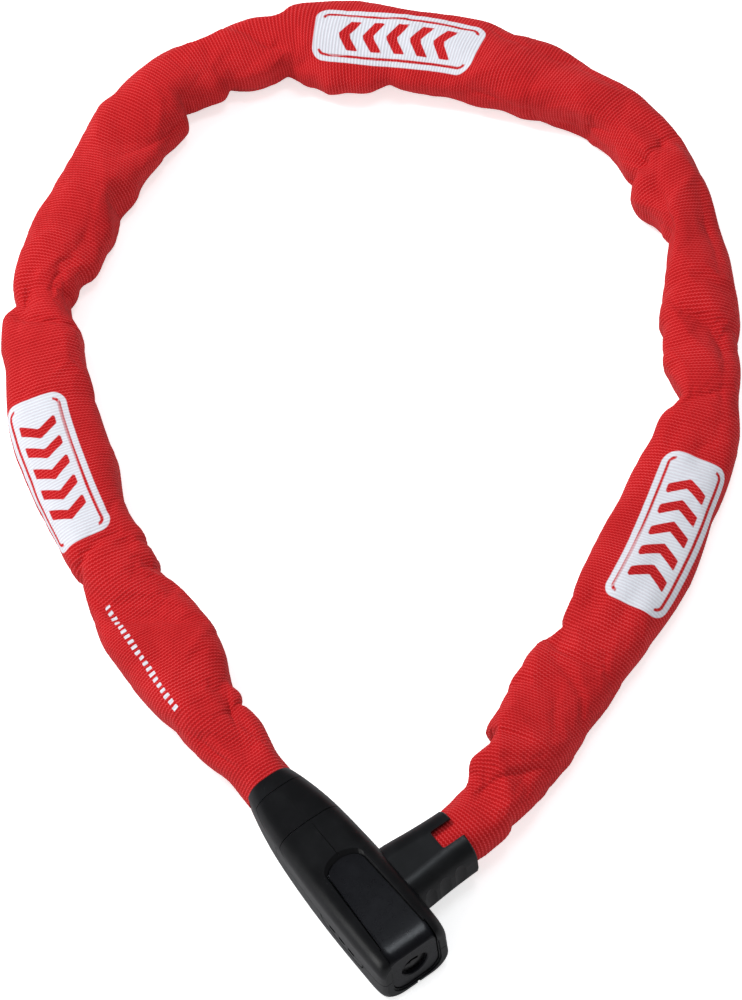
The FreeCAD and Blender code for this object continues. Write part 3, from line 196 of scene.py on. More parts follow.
# chain joints from pin to pin: x, y, z; link number k + 1 runs from joint k to joint k + 1
JOINTS = np.array([
    (-45.000, 0.000, 12.500), (-77.543, 0.288, 11.511), (-109.929, 2.809, 9.315),
    (-142.356, 5.729, 9.0), (-174.418, 11.395, 9.0), (-205.720, 20.353, 9.0),
    (-235.504, 33.505, 9.0), (-262.622, 51.525, 9.0), (-281.674, 77.928, 9.0),
    (-297.753, 106.240, 9.0), (-307.332, 137.357, 9.0), (-301.783, 169.440, 9.0),
    (-283.141, 196.134, 9.0), (-259.825, 218.858, 9.0), (-232.232, 236.141, 9.0),
    (-201.963, 248.136, 9.0), (-169.405, 247.818, 9.0), (-138.340, 238.070, 9.0),
    (-111.203, 220.080, 9.0), (-84.936, 200.840, 9.0), (-65.285, 174.880, 9.0),
    (-47.839, 147.390, 9.0), (-33.272, 118.271, 9.0), (-21.176, 88.045, 9.301),
    (-7.130, 58.752, 11.488), (0.000, 27.000, 12.500),
])
# creases: position along the sleeve, edge (1 outer, -1 inner), depth
CREASES = [
    (38.11, -1, 2.0), (100.77, -1, 1.6), (110.40, 1, 1.6), (111.85, -1, 1.6),
    (221.17, 1, 2.4), (224.01, -1, 4.0), (267.55, -1, 1.6), (320.89, -1, 1.6),
    (342.68, -1, 1.3), (368.97, -1, 1.3), (408.61, -1, 1.3), (466.85, -1, 1.3),
    (490.85, -1, 1.4), (522.91, -1, 3.0), (553.65, -1, 1.6), (581.04, -1, 1.4),
    (594.06, -1, 1.4), (605.64, -1, 2.0), (623.34, -1, 4.5), (723.44, -1, 1.4),
    (770.21, -1, 2.2), (786.59, -1, 1.5), (792.78, 1, 1.5),
]
# long furrows: start along and angle, end along and angle, depth, width, steep bank
FURROWS = [
    (522.6, 3.00, 518.0, 1.20, 2.6, 3.5, 1), (516.0, 1.30, 562.0, 2.30, 2.2, 3.2, -1),
    (630.5, 2.60, 624.0, 1.30, 1.8, 3.2, 1), (283.0, 1.70, 316.0, 2.80, 1.9, 3.5, 1),
    (228.0, 1.60, 264.0, 1.95, 1.6, 3.5, -1), (219.0, 0.40, 205.0, 2.90, 1.9, 3.0, 1),
    (111.0, 0.00, 80.0, 1.65, 2.1, 4.5, 1), (79.0, 1.50, 52.0, 1.60, 1.5, 3.5, -1),
    (40.0, 0.60, 16.0, 0.90, 1.6, 3.0, 1), (45.0, 2.50, 20.0, 1.60, 1.5, 3.0, -1),
    (731.0, 2.80, 734.0, 0.90, 1.7, 4.0, 1), (772.0, 0.50, 792.0, 1.90, 2.0, 3.5, 1),
    (741.0, 1.60, 760.0, 1.20, 1.4, 3.0, -1), (350.0, 0.90, 374.0, 2.30, 1.4, 3.5, 1),
    (425.0, 1.90, 463.0, 2.90, 1.7, 3.5, -1), (432.0, 0.60, 468.0, 1.20, 1.4, 3.5, 1),
]
FURROW_SPREAD = 1.3      # times the width in the table
# printed patches: middle along the sleeve, offset from the top line towards the outer edge
PATCHES = [(409.59, -0.50), (149.46, 5.83), (679.07, 5.57)]

LENGTH = (len(PROFILE) - 1) * PROFILE_STEP
SKIN_START = 6.2
SKIN_END = float(LENGTH) - 0.1
MOUTH = LENGTH - 13.0    # where the sleeve enters the ferrule's mouth
RING_STEP = 0.38
RING_POINTS = 120
RIB_PITCH = 1.14         # ribs of the weave, across the sleeve
WALL = 0.9


# ------------------------------------------------------------ small helpers
def smooth01(value):
    value = np.clip(value, 0, 1)
    return value * value * (3 - 2 * value)


def wrap(turn):
    """An angle brought between -pi and pi."""
    return (turn + math.pi) % (2 * math.pi) - math.pi


def catmull_rom(position, samples):
    """Catmull-Rom through the profile's evenly spaced samples."""
    i = np.clip((position / PROFILE_STEP).astype(int), 0, len(samples) - 2)
    f = np.clip(position / PROFILE_STEP - i, 0, 1)
    a, b, c, d = (samples[np.clip(i + k, 0, len(samples) - 1)] for k in (-1, 0, 1, 2))
    return b + 0.5 * f * (c - a + f * (2 * a - 5 * b + 4 * c - d + f * (3 * (b - c) + d - a)))


def blur(grid, sigma):
    """Gaussian blur of a 2D grid along axis 0 with held ends."""
    reach = int(4 * sigma) + 1
    kernel = np.exp(-0.5 * (np.arange(-reach, reach + 1) / sigma) ** 2)
    kernel /= kernel.sum()
    held = np.concatenate([np.repeat(grid[:1], reach, 0), grid, np.repeat(grid[-1:], reach, 0)])
    return np.array([np.convolve(column, kernel, "valid") for column in held.T]).T


def lattice(position, turn, cell, count, seed, margin):
    """Random corner values and the place inside each cell of a grid wrapped round the sleeve."""
    rows = int(position.max() / cell) + 4 + 2 * margin
    grid = np.random.RandomState(seed).uniform(-1, 1, (rows, count))
    row_pos = position / cell + margin
    col_pos = (turn / (2 * math.pi) * count) % count
    i, j = np.floor(row_pos).astype(int), np.floor(col_pos).astype(int)
    j0, j1 = j % count, (j + 1) % count
    corners = grid[i, j0], grid[i + 1, j0], grid[i, j1], grid[i + 1, j1]
    return corners, row_pos - i, col_pos - j


def smooth_noise(position, turn, cell, count, seed):
    (g00, g10, g01, g11), a, b = lattice(position, turn, cell, count, seed, margin=1)
    a, b = smooth01(a), smooth01(b)
    return g00 * (1 - a) * (1 - b) + g10 * a * (1 - b) + g01 * (1 - a) * b + g11 * a * b


def facets(position, turn, cell, count, seed):
    """Flat triangles with creased edges: how a stiff weave creases over a chain."""
    (g00, g10, g01, g11), a, b = lattice(position, turn, cell, count, seed, margin=2)
    low = g00 + a * (g10 - g00) + b * (g01 - g00)
    high = g11 + (1 - a) * (g01 - g11) + (1 - b) * (g10 - g11)
    return np.where(a + b < 1, low, high)


def band(low, high, count, flip=False):
    """Quads between closed rings of points that start at the indices low and high."""
    j = np.arange(count)
    after = (j + 1) % count
    corners = [low + j, low + after, high + after, high + j]
    if flip:
        corners = corners[:1] + corners[:0:-1]
    return np.stack(corners, -1).reshape(-1, 4)


def face_outward(verts, quads, outward):
    """Turns all quads over if the first one faces away from the outward direction."""
    v0, v1, v2 = (verts[quads[0, k]] for k in range(3))
    if np.dot(np.cross(v1 - v0, v2 - v1), outward) < 0:
        quads = quads[:, ::-1]
    return quads


def add_object(name, data):
    obj = bpy.data.objects.new(name, data)
    bpy.context.scene.collection.objects.link(obj)
    return obj


# ---------------------------------------------------------- sleeve section
ring_pos = np.arange(SKIN_START, SKIN_END, RING_STEP)
RINGS = len(ring_pos)
sampled = [catmull_rom(ring_pos, column) for column in PROFILE.T]
centre = np.stack(sampled[:3], 1)
# half widths and half height, drawn in where the sleeve enters the ferrule's mouth
draw_in = smooth01((ring_pos - MOUTH) / 5.0)
half_outer, half_inner, half_height = (
    size + (mouth_size - size) * draw_in
    for size, mouth_size in zip(sampled[3:], (8.3, 8.3, 7.95)))

# ring axes: sideways points to the outside of the loop
tangent = np.gradient(blur(centre, 6), axis=0)
tangent /= np.linalg.norm(tangent, axis=1)[:, None]
sideways = np.stack([-tangent[:, 1], tangent[:, 0], np.zeros(RINGS)], 1)
sideways /= np.linalg.norm(sideways, axis=1)[:, None]
upward = np.cross(tangent, sideways)

# angle 0 is the outer edge, pi / 2 the top, pi the inner edge
along, angle = np.meshgrid(ring_pos, np.linspace(0, 2 * math.pi, RING_POINTS, endpoint=False),
                           indexing="ij")
cos_a, sin_a = np.cos(angle), np.sin(angle)
SECTION_POWER = 2 / 2.5      # superellipse of order 2.5
half_width = np.where(cos_a >= 0, half_outer[:, None], half_inner[:, None])
section_x = half_width * np.sign(cos_a) * np.abs(cos_a) ** SECTION_POWER
section_z = half_height[:, None] * np.sign(sin_a) * np.abs(sin_a) ** SECTION_POWER
normal_x = np.sign(cos_a) * np.abs(cos_a) ** (2 - SECTION_POWER) / np.maximum(half_width, 1)
normal_z = np.sign(sin_a) * np.abs(sin_a) ** (2 - SECTION_POWER) / half_height[:, None]
normal_len = np.sqrt(normal_x ** 2 + normal_z ** 2)
normal_x, normal_z = normal_x / normal_len, normal_z / normal_len


def offset(base, x, z):
    """Points moved by x towards the outer edge and by z upwards, in the plane of each ring."""
    return base + sideways[:, None, :] * x[..., None] + upward[:, None, :] * z[..., None]


# ------------------------------------------------------------ folds
# no folds at the two ends, and softer ones where the outer edge is pulled smooth
ends = smooth01((along - SKIN_START - 2) / 14) * smooth01((MOUTH - along) / 12)
calm = 1 - 0.55 * np.exp(-(wrap(angle) / 0.75) ** 2)


def chain_lumps():
    """The chain inside shows through as soft lumps where links cross."""
    warp = 7.0 * np.sin(angle + 0.9) + 3.0 * np.sin(2 * angle)
    lump = (facets(along + warp, angle, cell=21.0, count=6, seed=3) * 3.0
            + facets(along - 0.7 * warp, angle + 0.5, cell=12.5, count=8, seed=4) * 1.35)
    lump = blur(lump, 2.4)
    lump = (lump + np.roll(lump, 1, 1) + np.roll(lump, -1, 1)) / 3
    lump = lump * calm * (0.45 + 0.55 * np.abs(np.sin(angle)) ** 0.7)
    return lump * ends


def crease(position, edge, depth, reach, slant, width, lean_sign):
    """Starts at one edge and dies out towards the middle of the sleeve."""
    from_edge = np.abs(wrap(angle - (0.0 if edge > 0 else math.pi)))
    half = np.where(np.sin(angle) >= 0, 1.0, -1.0)
    fall = np.exp(-(from_edge / reach) ** 2)
    across = along - position - slant * from_edge * half
    spread = width * (1 + 0.6 * from_edge)
    # steep on one flank and gentle on the other, with a sharp bottom
    lean = np.where(across * lean_sign < 0, 0.62, 1.45)
    valley = -np.exp(-1.15 * (np.sqrt((across / (spread * lean)) ** 2 + 0.03) - 0.17))
    ridge = 0.45 * np.exp(
        -0.5 * ((np.abs(across) - 2.5 * spread * lean) / (1.1 * spread * lean)) ** 2)
    return depth * fall * (valley + ridge) * ends


def furrow(start, start_angle, end, end_angle, depth, width, lean):
    """The depth of a long, soft, slightly curved valley, steeper on one bank."""
    radius = 11.5      # turns angles into lengths
    run, rise = end - start, end_angle * radius - start_angle * radius
    square = run ** 2 + rise ** 2
    length = math.sqrt(square)
    mid_angle = (start_angle + end_angle) / 2
    dx = along - start
    dy = (wrap(angle - mid_angle) + mid_angle) * radius - start_angle * radius
    share = (dx * run + dy * rise) / square
    inside = np.clip(share, 0, 1)
    across = (dx * rise - dy * run) / length + 0.06 * length * np.sin(math.pi * inside)
    fade = np.exp(-(np.abs(share - inside) * length / (1.6 * width)) ** 2)
    spread = np.where(across * lean < 0, 0.5, 1.6) * width
    valley = np.exp(-np.sqrt((across / spread) ** 2 + 0.02) * 1.2) * fade
    bank = 0.40 * np.exp(-0.5 * ((across * lean + 1.7 * width) / (0.7 * width)) ** 2) * fade
    return depth * (valley - bank) * (0.35 + 0.65 * np.sin(math.pi * inside)) * ends


def inner_corner():
    """A fold that stands out as a corner at the inner edge and drops in just behind it."""
    across = along - 769.5
    step = np.where(across < 0, 1.9 * np.exp(across / 6.0), -1.9 * np.exp(-across / 5.0))
    return blur(step, 2.0) * np.exp(-(np.abs(angle - math.pi) / 0.75) ** 2)


def all_folds():
    """How far the cloth stands out from the plain section."""
    rng = np.random.RandomState(7)
    folds = chain_lumps()
    for position, edge, depth in CREASES:
        folds = folds + crease(
            position, edge, min(depth * 0.62, 1.3), reach=0.95 + 0.12 * depth,
            slant=rng.uniform(-3.2, 3.2), width=1.8 + 0.35 * depth,
            lean_sign=1.0 if rng.rand() < 0.5 else -1.0)
    # a few slight creases at random places
    for _ in range(5):
        folds = folds + crease(
            position=rng.uniform(SKIN_START + 18, SKIN_END - 18),
            edge=1 if rng.rand() < 0.5 else -1, depth=rng.uniform(0.3, 0.8),
            reach=rng.uniform(0.7, 1.5), slant=rng.uniform(-9, 9), width=rng.uniform(2.0, 4.0),
            lean_sign=1.0 if rng.rand() < 0.5 else -1.0)
    for *path, depth, width, lean in FURROWS:
        folds = folds - furrow(*path, depth, width * FURROW_SPREAD, lean)
    folds = folds + inner_corner()
    # the sleeve lies smoother under its printed patches
    for middle, _ in PATCHES:
        flat = smooth01((34.0 - np.abs(along - middle)) / 9.0)
        flat = flat * smooth01((np.sin(angle) + 0.2) / 0.5)
        folds = folds * (1 - 0.6 * flat)
    return folds


# ------------------------------------------------------------ cloth settling
COARSE_RINGS, COARSE_POINTS = 5, 2      # the cloth takes every 5th ring and 2nd point
CLOTH_SCALE = 10.0
CLOTH_FRAMES = 8
CLOTH_SETTINGS = dict(
    quality=5, mass=0.1,
    tension_stiffness=25, compression_stiffness=25, shear_stiffness=10, bending_stiffness=0.4,
    tension_damping=8, compression_damping=8,
    use_pressure=True, uniform_pressure_force=0.5,
    shrink_min=-0.035,      # cut a little too long
)
CLOTH_GAIN, CLOTH_CAP = 0.65, 1.0      # share of the movement kept, and its limit


def run_cloth(start, quads, hold):
    """Runs Blender's Cloth on a temporary mesh and returns where its points end up."""
    mesh = bpy.data.meshes.new("sleeve_settle")
    mesh.from_pydata(start.tolist(), [], quads.tolist())
    obj = add_object("sleeve_settle", mesh)
    group = obj.vertex_groups.new(name="hold")
    for level in range(21):
        chosen = np.where(np.round(hold * 20).astype(int) == level)[0]
        if len(chosen):
            group.add(chosen.tolist(), max(level / 20.0, 0.02), "REPLACE")
    cloth = obj.modifiers.new("Cloth", "CLOTH")
    for key, value in CLOTH_SETTINGS.items():
        setattr(cloth.settings, key, value)
    cloth.settings.effector_weights.gravity = 0
    cloth.settings.vertex_group_mass = "hold"
    cloth.settings.pin_stiffness = 1.0
    cloth.collision_settings.use_collision = False
    cloth.collision_settings.use_self_collision = False
    cloth.point_cache.frame_start = 1
    cloth.point_cache.frame_end = CLOTH_FRAMES
    scene = bpy.context.scene
    for number in range(1, CLOTH_FRAMES + 1):
        scene.frame_set(number)
    evaluated = obj.evaluated_get(bpy.context.evaluated_depsgraph_get())
    settled = np.empty(start.size, np.float32)
    evaluated.data.vertices.foreach_get("co", settled)
    scene.frame_set(1)
    bpy.data.objects.remove(obj)
    bpy.data.meshes.remove(mesh)
    return settled.reshape(-1, 3)


def settle(skin):
    """Lets a coarse copy of the sleeve settle, and carries its small movement back."""
    ring_ids = np.arange(0, RINGS, COARSE_RINGS)
    if ring_ids[-1] != RINGS - 1:
        ring_ids = np.append(ring_ids, RINGS - 1)
    picked = np.ix_(ring_ids, np.arange(0, RING_POINTS, COARSE_POINTS))
    coarse = skin[picked]
    n, m = coarse.shape[:2]
    quads = band(np.arange(n - 1)[:, None] * m, np.arange(1, n)[:, None] * m, m)
    quads = face_outward(coarse.reshape(-1, 3), quads, coarse[0, 0] - coarse[0].mean(axis=0))
    # both ends are held
    pos = ring_pos[ring_ids]
    held = np.maximum(1 - smooth01((pos - SKIN_START - 6) / 10),
                      1 - smooth01((LENGTH - 16 - pos) / 10))
    start = coarse.reshape(-1, 3) * MM * CLOTH_SCALE
    settled = run_cloth(start, quads, hold=np.repeat(np.clip(0.02 + held, 0, 1), m))
    move = ((settled - start) / (MM * CLOTH_SCALE)).reshape(n, m, 3)
    # the folds stay, the drift of the whole sleeve goes: its line and width are measured
    move = move - move.mean(axis=1, keepdims=True)
    slow = blur(move.reshape(n, m * 3), 4.0).reshape(n, m, 3)
    move = (move - slow) * CLOTH_GAIN
    size = np.linalg.norm(move, axis=2, keepdims=True)
    move = move * (CLOTH_CAP * np.tanh(size / CLOTH_CAP) / np.maximum(size, 1e-9))
    move = move * (1 - held)[:, None, None] * calm[picked][..., None]
    # carried back to the full grid, first around and then along
    place = np.arange(RING_POINTS) / COARSE_POINTS
    j = np.floor(place).astype(int) % m
    mix = smooth01(place - np.floor(place))[None, :, None]
    move = move[:, j] * (1 - mix) + move[:, (j + 1) % m] * mix
    place = np.interp(np.arange(RINGS), ring_ids, np.arange(n))
    i = np.minimum(np.floor(place).astype(int), n - 2)
    mix = smooth01(place - i)[:, None, None]
    return skin + (move[i] * (1 - mix) + move[i + 1] * mix)


# ------------------------------------------------------------ room for the chain
LINK_HALF_WIDTH, LINK_HALF_THICK = 6.75, 1.9
LINK_END_ROUND = 5.6     # how far a link reaches past its joints


def clear_links(skin, gap):
    """Keeps the sleeve's inner wall off every chain link inside it."""
    skin = skin.copy()
    wide, thin = LINK_HALF_WIDTH + gap, LINK_HALF_THICK + gap
    for k in range(len(JOINTS) - 1):
        start, end = JOINTS[k], JOINTS[k + 1]
        axis = end - start
        length = np.linalg.norm(axis)
        axis = axis / length
        side = np.array([-axis[1], axis[0], 0.0])
        side /= np.linalg.norm(side)
        up = np.cross(axis, side)
        middle = (start + end) / 2
        near = np.where(np.linalg.norm(centre - middle, axis=1) < length / 2 + 9)[0]
        rows = slice(near[0], near[-1] + 1)
        rel = skin[rows] - start
        t, x, z = rel @ axis, rel @ side, rel @ up
        past = np.maximum(np.maximum(-t, t - length), 0)
        keep = np.sqrt(np.clip(1 - (past / LINK_END_ROUND) ** 2, 0, 1))
        # links alternate between lying flat and standing on edge
        room_x, room_z = (thin, wide * keep) if k % 2 else (wide * keep, thin)
        room_x, room_z = np.maximum(room_x, 0.1), np.maximum(room_z, 0.1)
        depth = ((np.abs(x) / room_x) ** 4 + (np.abs(z) / room_z) ** 4) ** 0.25
        push = np.where((depth < 1) & (keep > 0), 1 / np.maximum(depth, 0.3), 1.0)
        skin[rows] = (start + t[..., None] * axis + (x * push)[..., None] * side
                      + (z * push)[..., None] * up)
    return skin


def make_room(skin):
    """Lifts the cloth softly over the links, then clears what still touches."""
    lift = clear_links(skin, gap=1.9) - skin
    for axis in range(3):
        lift[..., axis] = blur(lift[..., axis], 7)
    for _ in range(8):
        lift = (np.roll(lift, 1, 1) + lift * 2 + np.roll(lift, -1, 1)) / 4
    return clear_links(skin + lift * 1.3, gap=1.0)


def rest_on_floor(skin, low=0.15, soft=1.2):
    """Nothing dips below low, and the underside lies a little flatter."""
    z = skin[..., 2]
    eased = low + soft * np.exp((np.minimum(z, low + soft) - low - soft) / soft)
    skin[..., 2] = np.where(z < low + soft, eased, z)


folds = all_folds()
skin = offset(centre[:, None, :], section_x + folds * normal_x, section_z + folds * normal_z)
skin = settle(skin)
skin = make_room(skin)
# the rows of the weave wander a little with the folds
weave_along = along + 1.9 * smooth_noise(along, angle, cell=32.0, count=4, seed=21) * ends
rib = 0.04 * np.cos(2 * math.pi * weave_along / RIB_PITCH)
skin = offset(skin, rib * normal_x, rib * normal_z)
rest_on_floor(skin)

# smooth normals of the whole sleeve
normals = np.cross(np.roll(skin, -1, 1) - np.roll(skin, 1, 1), np.gradient(skin, axis=0))
normals /= np.linalg.norm(normals, axis=2)[..., None]
if np.mean(np.sum(normals * (skin - centre[:, None, :]), axis=2)) < 0:
    normals = -normals

# distance round the sleeve from its top line, positive towards the outer edge
side_len = np.linalg.norm(np.roll(skin, -1, 1) - skin, axis=2)
round_len = np.concatenate([np.zeros((RINGS, 1)), np.cumsum(side_len, axis=1)[:, :-1]], 1)
top = RING_POINTS // 4
around = blur(-(round_len - round_len[:, top:top + 1]), 4)

# ------------------------------------------------------------ print
PATCH_HALF_LENGTH, PATCH_HALF_WIDTH, PATCH_CORNER = 30.0, 11.6, 5.0
BAR_PITCH, BAR_HALF_THICK, BAR_HALF_LENGTH = 8.6, 2.0, 6.5
PRINT_EDGE = 2.4         # width of the soft edge
DASH_START, DASH_END, DASH_AROUND, DASH_PITCH = 43.41, 95.47, 9.89, 2.6


def soft_inside(distance):
    return np.clip(0.5 - distance / PRINT_EDGE, 0, 1)


def patch_print(middle, around_middle):
    """A rounded white patch with five bare V-shaped bars and a bare line by each long side."""
    dx, dy = along - middle, np.abs(around - around_middle)
    edge = np.sqrt(np.maximum(np.abs(dx) - (PATCH_HALF_LENGTH - PATCH_CORNER), 0) ** 2
                   + np.maximum(dy - (PATCH_HALF_WIDTH - PATCH_CORNER), 0) ** 2) - PATCH_CORNER
    place = (dx - 0.62 * (dy - 3.6)) / BAR_PITCH
    nearest = np.clip(np.round(place), -2, 2)
    bars = soft_inside(np.maximum(np.abs(place - nearest) * BAR_PITCH - BAR_HALF_THICK,
                                  dy - BAR_HALF_LENGTH))
    # the lines lie 2.6 in from the patch's edge and are 1.1 wide
    lines = soft_inside(np.maximum(np.abs(edge + 2.6) - 0.55, PATCH_HALF_WIDTH - 4.6 - dy))
    return np.minimum(soft_inside(edge), 1 - np.maximum(bars, lines)) * (np.sin(angle) > -0.4)


def dash_print():
    """A row of dashes along the outer side, near the neck."""
    row = smooth01((along - DASH_START) / 0.5) * smooth01((DASH_END - along) / 0.5)
    row = row * (1 - smooth01((np.abs(around - DASH_AROUND) - 0.9) / 0.5))
    dash = smooth01((0.5 - np.abs((along / DASH_PITCH) % 1.0 - 0.5) - 0.16) / 0.1)
    return row * dash * 0.75


printed = np.zeros((RINGS, RING_POINTS))
for patch in PATCHES:
    printed = np.maximum(printed, patch_print(*patch))
printed = np.maximum(printed, dash_print())


# ------------------------------------------------------------- shader nodes
class Graph:
    """Short calls that make nodes in one node tree and join them."""

    def __init__(self, tree):
        self.tree = tree

    def node(self, kind):
        return self.tree.nodes.new("ShaderNode" + kind)

    def feed(self, socket, value):
        """Links a socket, or sets a number or an RGB colour."""
        if isinstance(value, bpy.types.NodeSocket):
            self.tree.links.new(value, socket)
        else:
            socket.default_value = (*value, 1) if isinstance(value, tuple) else value

    def fill(self, node, inputs):
        for key, value in inputs.items():
            self.feed(node.inputs[key], value)

    def math(self, operation, *values, clamp=False):
        node = self.node("Math")
        node.operation = operation
        node.use_clamp = clamp
        self.fill(node, dict(enumerate(values)))
        return node.outputs[0]

    def add(self, first, second, clamp=False):
        return self.math("ADD", first, second, clamp=clamp)

    def mul(self, first, second, clamp=False):
        return self.math("MULTIPLY", first, second, clamp=clamp)

    def ramp(self, factor, stops):
        node = self.node("ValToRGB")
        elements = node.color_ramp.elements
        for element, (place, colour) in zip(elements, (stops[0], stops[-1])):
            element.position, element.color = place, (*colour, 1)
        for place, colour in stops[1:-1]:
            elements.new(place).color = (*colour, 1)
        self.feed(node.inputs[0], factor)
        return node.outputs[0]

    def noise(self, scale, detail, rough):
        node = self.node("TexNoise")
        coords = self.node("TexCoord").outputs["Object"]
        self.fill(node, {"Scale": scale, "Detail": detail, "Roughness": rough, "Vector": coords})
        return node.outputs[0]

    def mix(self, factor, first, second):
        node = self.node("Mix")
        node.data_type = "RGBA"
        # sockets 6 and 7 are the two colours
        self.fill(node, {0: factor, 6: first, 7: second})
        return node.outputs[2]

    def bump(self, surface, height, strength, distance):
        node = self.node("Bump")
        self.fill(node, {"Strength": strength, "Distance": distance, "Height": height})
        self.feed(surface.inputs["Normal"], node.outputs[0])

    def attribute(self, name):
        node = self.node("Attribute")
        node.attribute_name = name
        return node.outputs["Fac"]


def new_material(name):
    material = bpy.data.materials.new(name)
    material.use_nodes = True
    graph = Graph(material.node_tree)
    graph.tree.nodes.clear()
    output = graph.node("OutputMaterial")
    surface = graph.node("BsdfPrincipled")
    graph.feed(output.inputs[0], surface.outputs[0])
    return material, graph, surface


# ------------------------------------------------------------- materials
def fabric_material():
    material, g, surface = new_material("sleeve_weave")
    pos, turn, ink = (g.attribute(name) for name in ("along", "around", "print"))
    # ribs across the sleeve, and rows of small stitches 1.2 apart along each rib
    ribs = g.math("COSINE", g.mul(pos, 2 * math.pi / RIB_PITCH))
    rib_number = g.math("FLOOR", g.math("DIVIDE", pos, RIB_PITCH))
    shift = g.mul(g.math("MODULO", rib_number, 2.0), math.pi)
    stitches = g.math("COSINE", g.add(g.mul(turn, 2 * math.pi / 1.2), shift))
    dots = g.mul(g.mul(g.add(ribs, 1.0), 0.5), g.mul(g.add(stitches, 1.0), 0.5))
    fibre = g.noise(scale=1400.0, detail=3.0, rough=0.7)
    wear = g.noise(scale=55.0, detail=3.0, rough=0.55)
    broad = g.noise(scale=14.0, detail=2.0, rough=0.5)
    # red thread; the stitch tops are painted lighter, with a painted highlight that is stronger
    # where the wear noise is high
    tone = g.add(g.mul(ribs, 0.05), g.mul(dots, 0.18))
    tone = g.add(tone, g.mul(fibre, 0.30))
    tone = g.add(tone, g.mul(wear, 0.22))
    tone = g.add(tone, g.mul(broad, 0.16), clamp=True)
    red = g.ramp(tone, [(0.12, (0.27, 0.005, 0.006)), (0.48, (0.50, 0.009, 0.011)),
                        (0.95, (0.66, 0.034, 0.038))])
    # painted highlight: the stitch tops are mixed towards a light red
    painted_stitch_highlight = g.mul(g.math("POWER", dots, 2.2), g.add(0.10, g.mul(wear, 0.85)), clamp=True)
    red = g.mix(painted_stitch_highlight, red, (0.76, 0.13, 0.14))
    # white print with sharpened edges, thinner in the valleys between ribs
    tone = g.add(g.mul(ribs, 0.12), g.add(0.55, g.mul(fibre, 0.30)))
    white = g.ramp(tone, [(0.2, (0.46, 0.48, 0.53)), (0.55, (0.58, 0.61, 0.67)),
                          (0.95, (0.68, 0.71, 0.76))])
    ink = g.add(g.mul(g.math("SUBTRACT", ink, 0.5), 7.0), 0.5, clamp=True)
    cover = g.mul(ink, g.add(0.95, g.mul(ribs, 0.06)), clamp=True)
    g.fill(surface, {
        "Base Color": g.mix(cover, red, white), "Roughness": 0.82, "Specular IOR Level": 0.14,
        "Sheen Weight": 0.03, "Sheen Roughness": 0.5, "Sheen Tint": (1.0, 0.55, 0.55)})
    height = g.add(g.mul(ribs, 0.5), g.mul(dots, 0.8))
    height = g.add(height, g.mul(fibre, 0.5))
    g.bump(surface, height, strength=0.40, distance=0.00020)
    return material


def plastic_material(name, colour, rough, specular):
    material, g, surface = new_material(name)
    cloudy = g.noise(scale=90.0, detail=4.0, rough=0.6)
    grain = g.noise(scale=2600.0, detail=2.0, rough=0.5)
    uneven = g.noise(scale=420.0, detail=5.0, rough=0.7)
    dark = tuple(x * 0.75 for x in colour)
    light = tuple(x * 1.35 + 0.002 for x in colour)
    g.fill(surface, {
        "Base Color": g.ramp(cloudy, [(0.3, dark), (0.5, colour), (0.75, light)]),
        "Roughness": g.add(rough - 0.07, g.mul(uneven, 0.14)), "Specular IOR Level": specular})
    g.bump(surface, g.add(g.mul(grain, 1.0), g.mul(uneven, 0.6)), strength=0.18,
           distance=0.00004)
    return material


def metal_material(name, colour, rough, scale=300.0, anisotropic=0.0):
    material, g, surface = new_material(name)
    grain = g.noise(scale=scale, detail=4.0, rough=0.6)
    cloudy = g.noise(scale=60.0, detail=3.0, rough=0.5)
    dark = tuple(x * 0.72 for x in colour)
    light = tuple(min(1, x * 1.12) for x in colour)
    g.fill(surface, {
        "Base Color": g.ramp(cloudy, [(0.3, dark), (0.6, colour), (0.8, light)]),
        "Roughness": g.add(rough - 0.1, g.mul(grain, 0.2)),
        "Metallic": 1.0, "Anisotropic": anisotropic})
    g.bump(surface, grain, strength=0.25, distance=0.00005)
    return material


FABRIC = fabric_material()
SHELL = plastic_material("black_shell", (0.0055, 0.006, 0.007), rough=0.36, specular=0.42)
COVER = plastic_material("black_cover", (0.005, 0.0052, 0.006), rough=0.33, specular=0.40)
PANEL = plastic_material("black_panel", (0.004, 0.0042, 0.006), rough=0.29, specular=0.42)
FERRULE = plastic_material("black_ferrule", (0.006, 0.0065, 0.0075), rough=0.40, specular=0.42)
CHAIN = metal_material("zinc_chain", (0.55, 0.56, 0.58), rough=0.38)
HARD = metal_material("hard_steel", (0.60, 0.60, 0.61), rough=0.26, scale=500.0, anisotropic=0.3)
CASE = metal_material("case_steel", (0.36, 0.36, 0.38), rough=0.45, scale=180.0)
BRASS = metal_material("brass", (0.62, 0.45, 0.20), rough=0.30, scale=400.0)
# the lock cylinder's metal, dark in part as painted shade for the deep keyway recess
RECESS_SHADE_METAL = metal_material("cylinder_metal_painted_dark", (0.16, 0.16, 0.16), rough=0.38, scale=500.0)
SPRING = metal_material("spring_wire", (0.50, 0.51, 0.53), rough=0.30, scale=700.0)

PIECE_MATERIALS = {
    "rear_shell": SHELL, "neck_cap": COVER, "front_cover": COVER, "front_panel": PANEL,
    "ferrule": FERRULE, "steel_case": CASE, "cam_drum": CASE,
    "plug_pin": HARD, "ferrule_pin": HARD, "neck_pin": HARD, "latch": HARD,
    "housing_screws": HARD, "cylinder_body": RECESS_SHADE_METAL, "cylinder_plug": RECESS_SHADE_METAL,
    "key_pins": BRASS, "driver_pins": BRASS,
    "pin_springs": SPRING, "latch_spring": SPRING, "cylinder_clip": SPRING,
}
for name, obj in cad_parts.items():
    default = CHAIN if name.startswith("link_") else FABRIC
    obj.data.materials.clear()
    obj.data.materials.append(PIECE_MATERIALS.get(name, default))

# ---------------------------------------------------------- sleeve pieces
INNER_STEP = 5           # the inner wall keeps every 5th ring
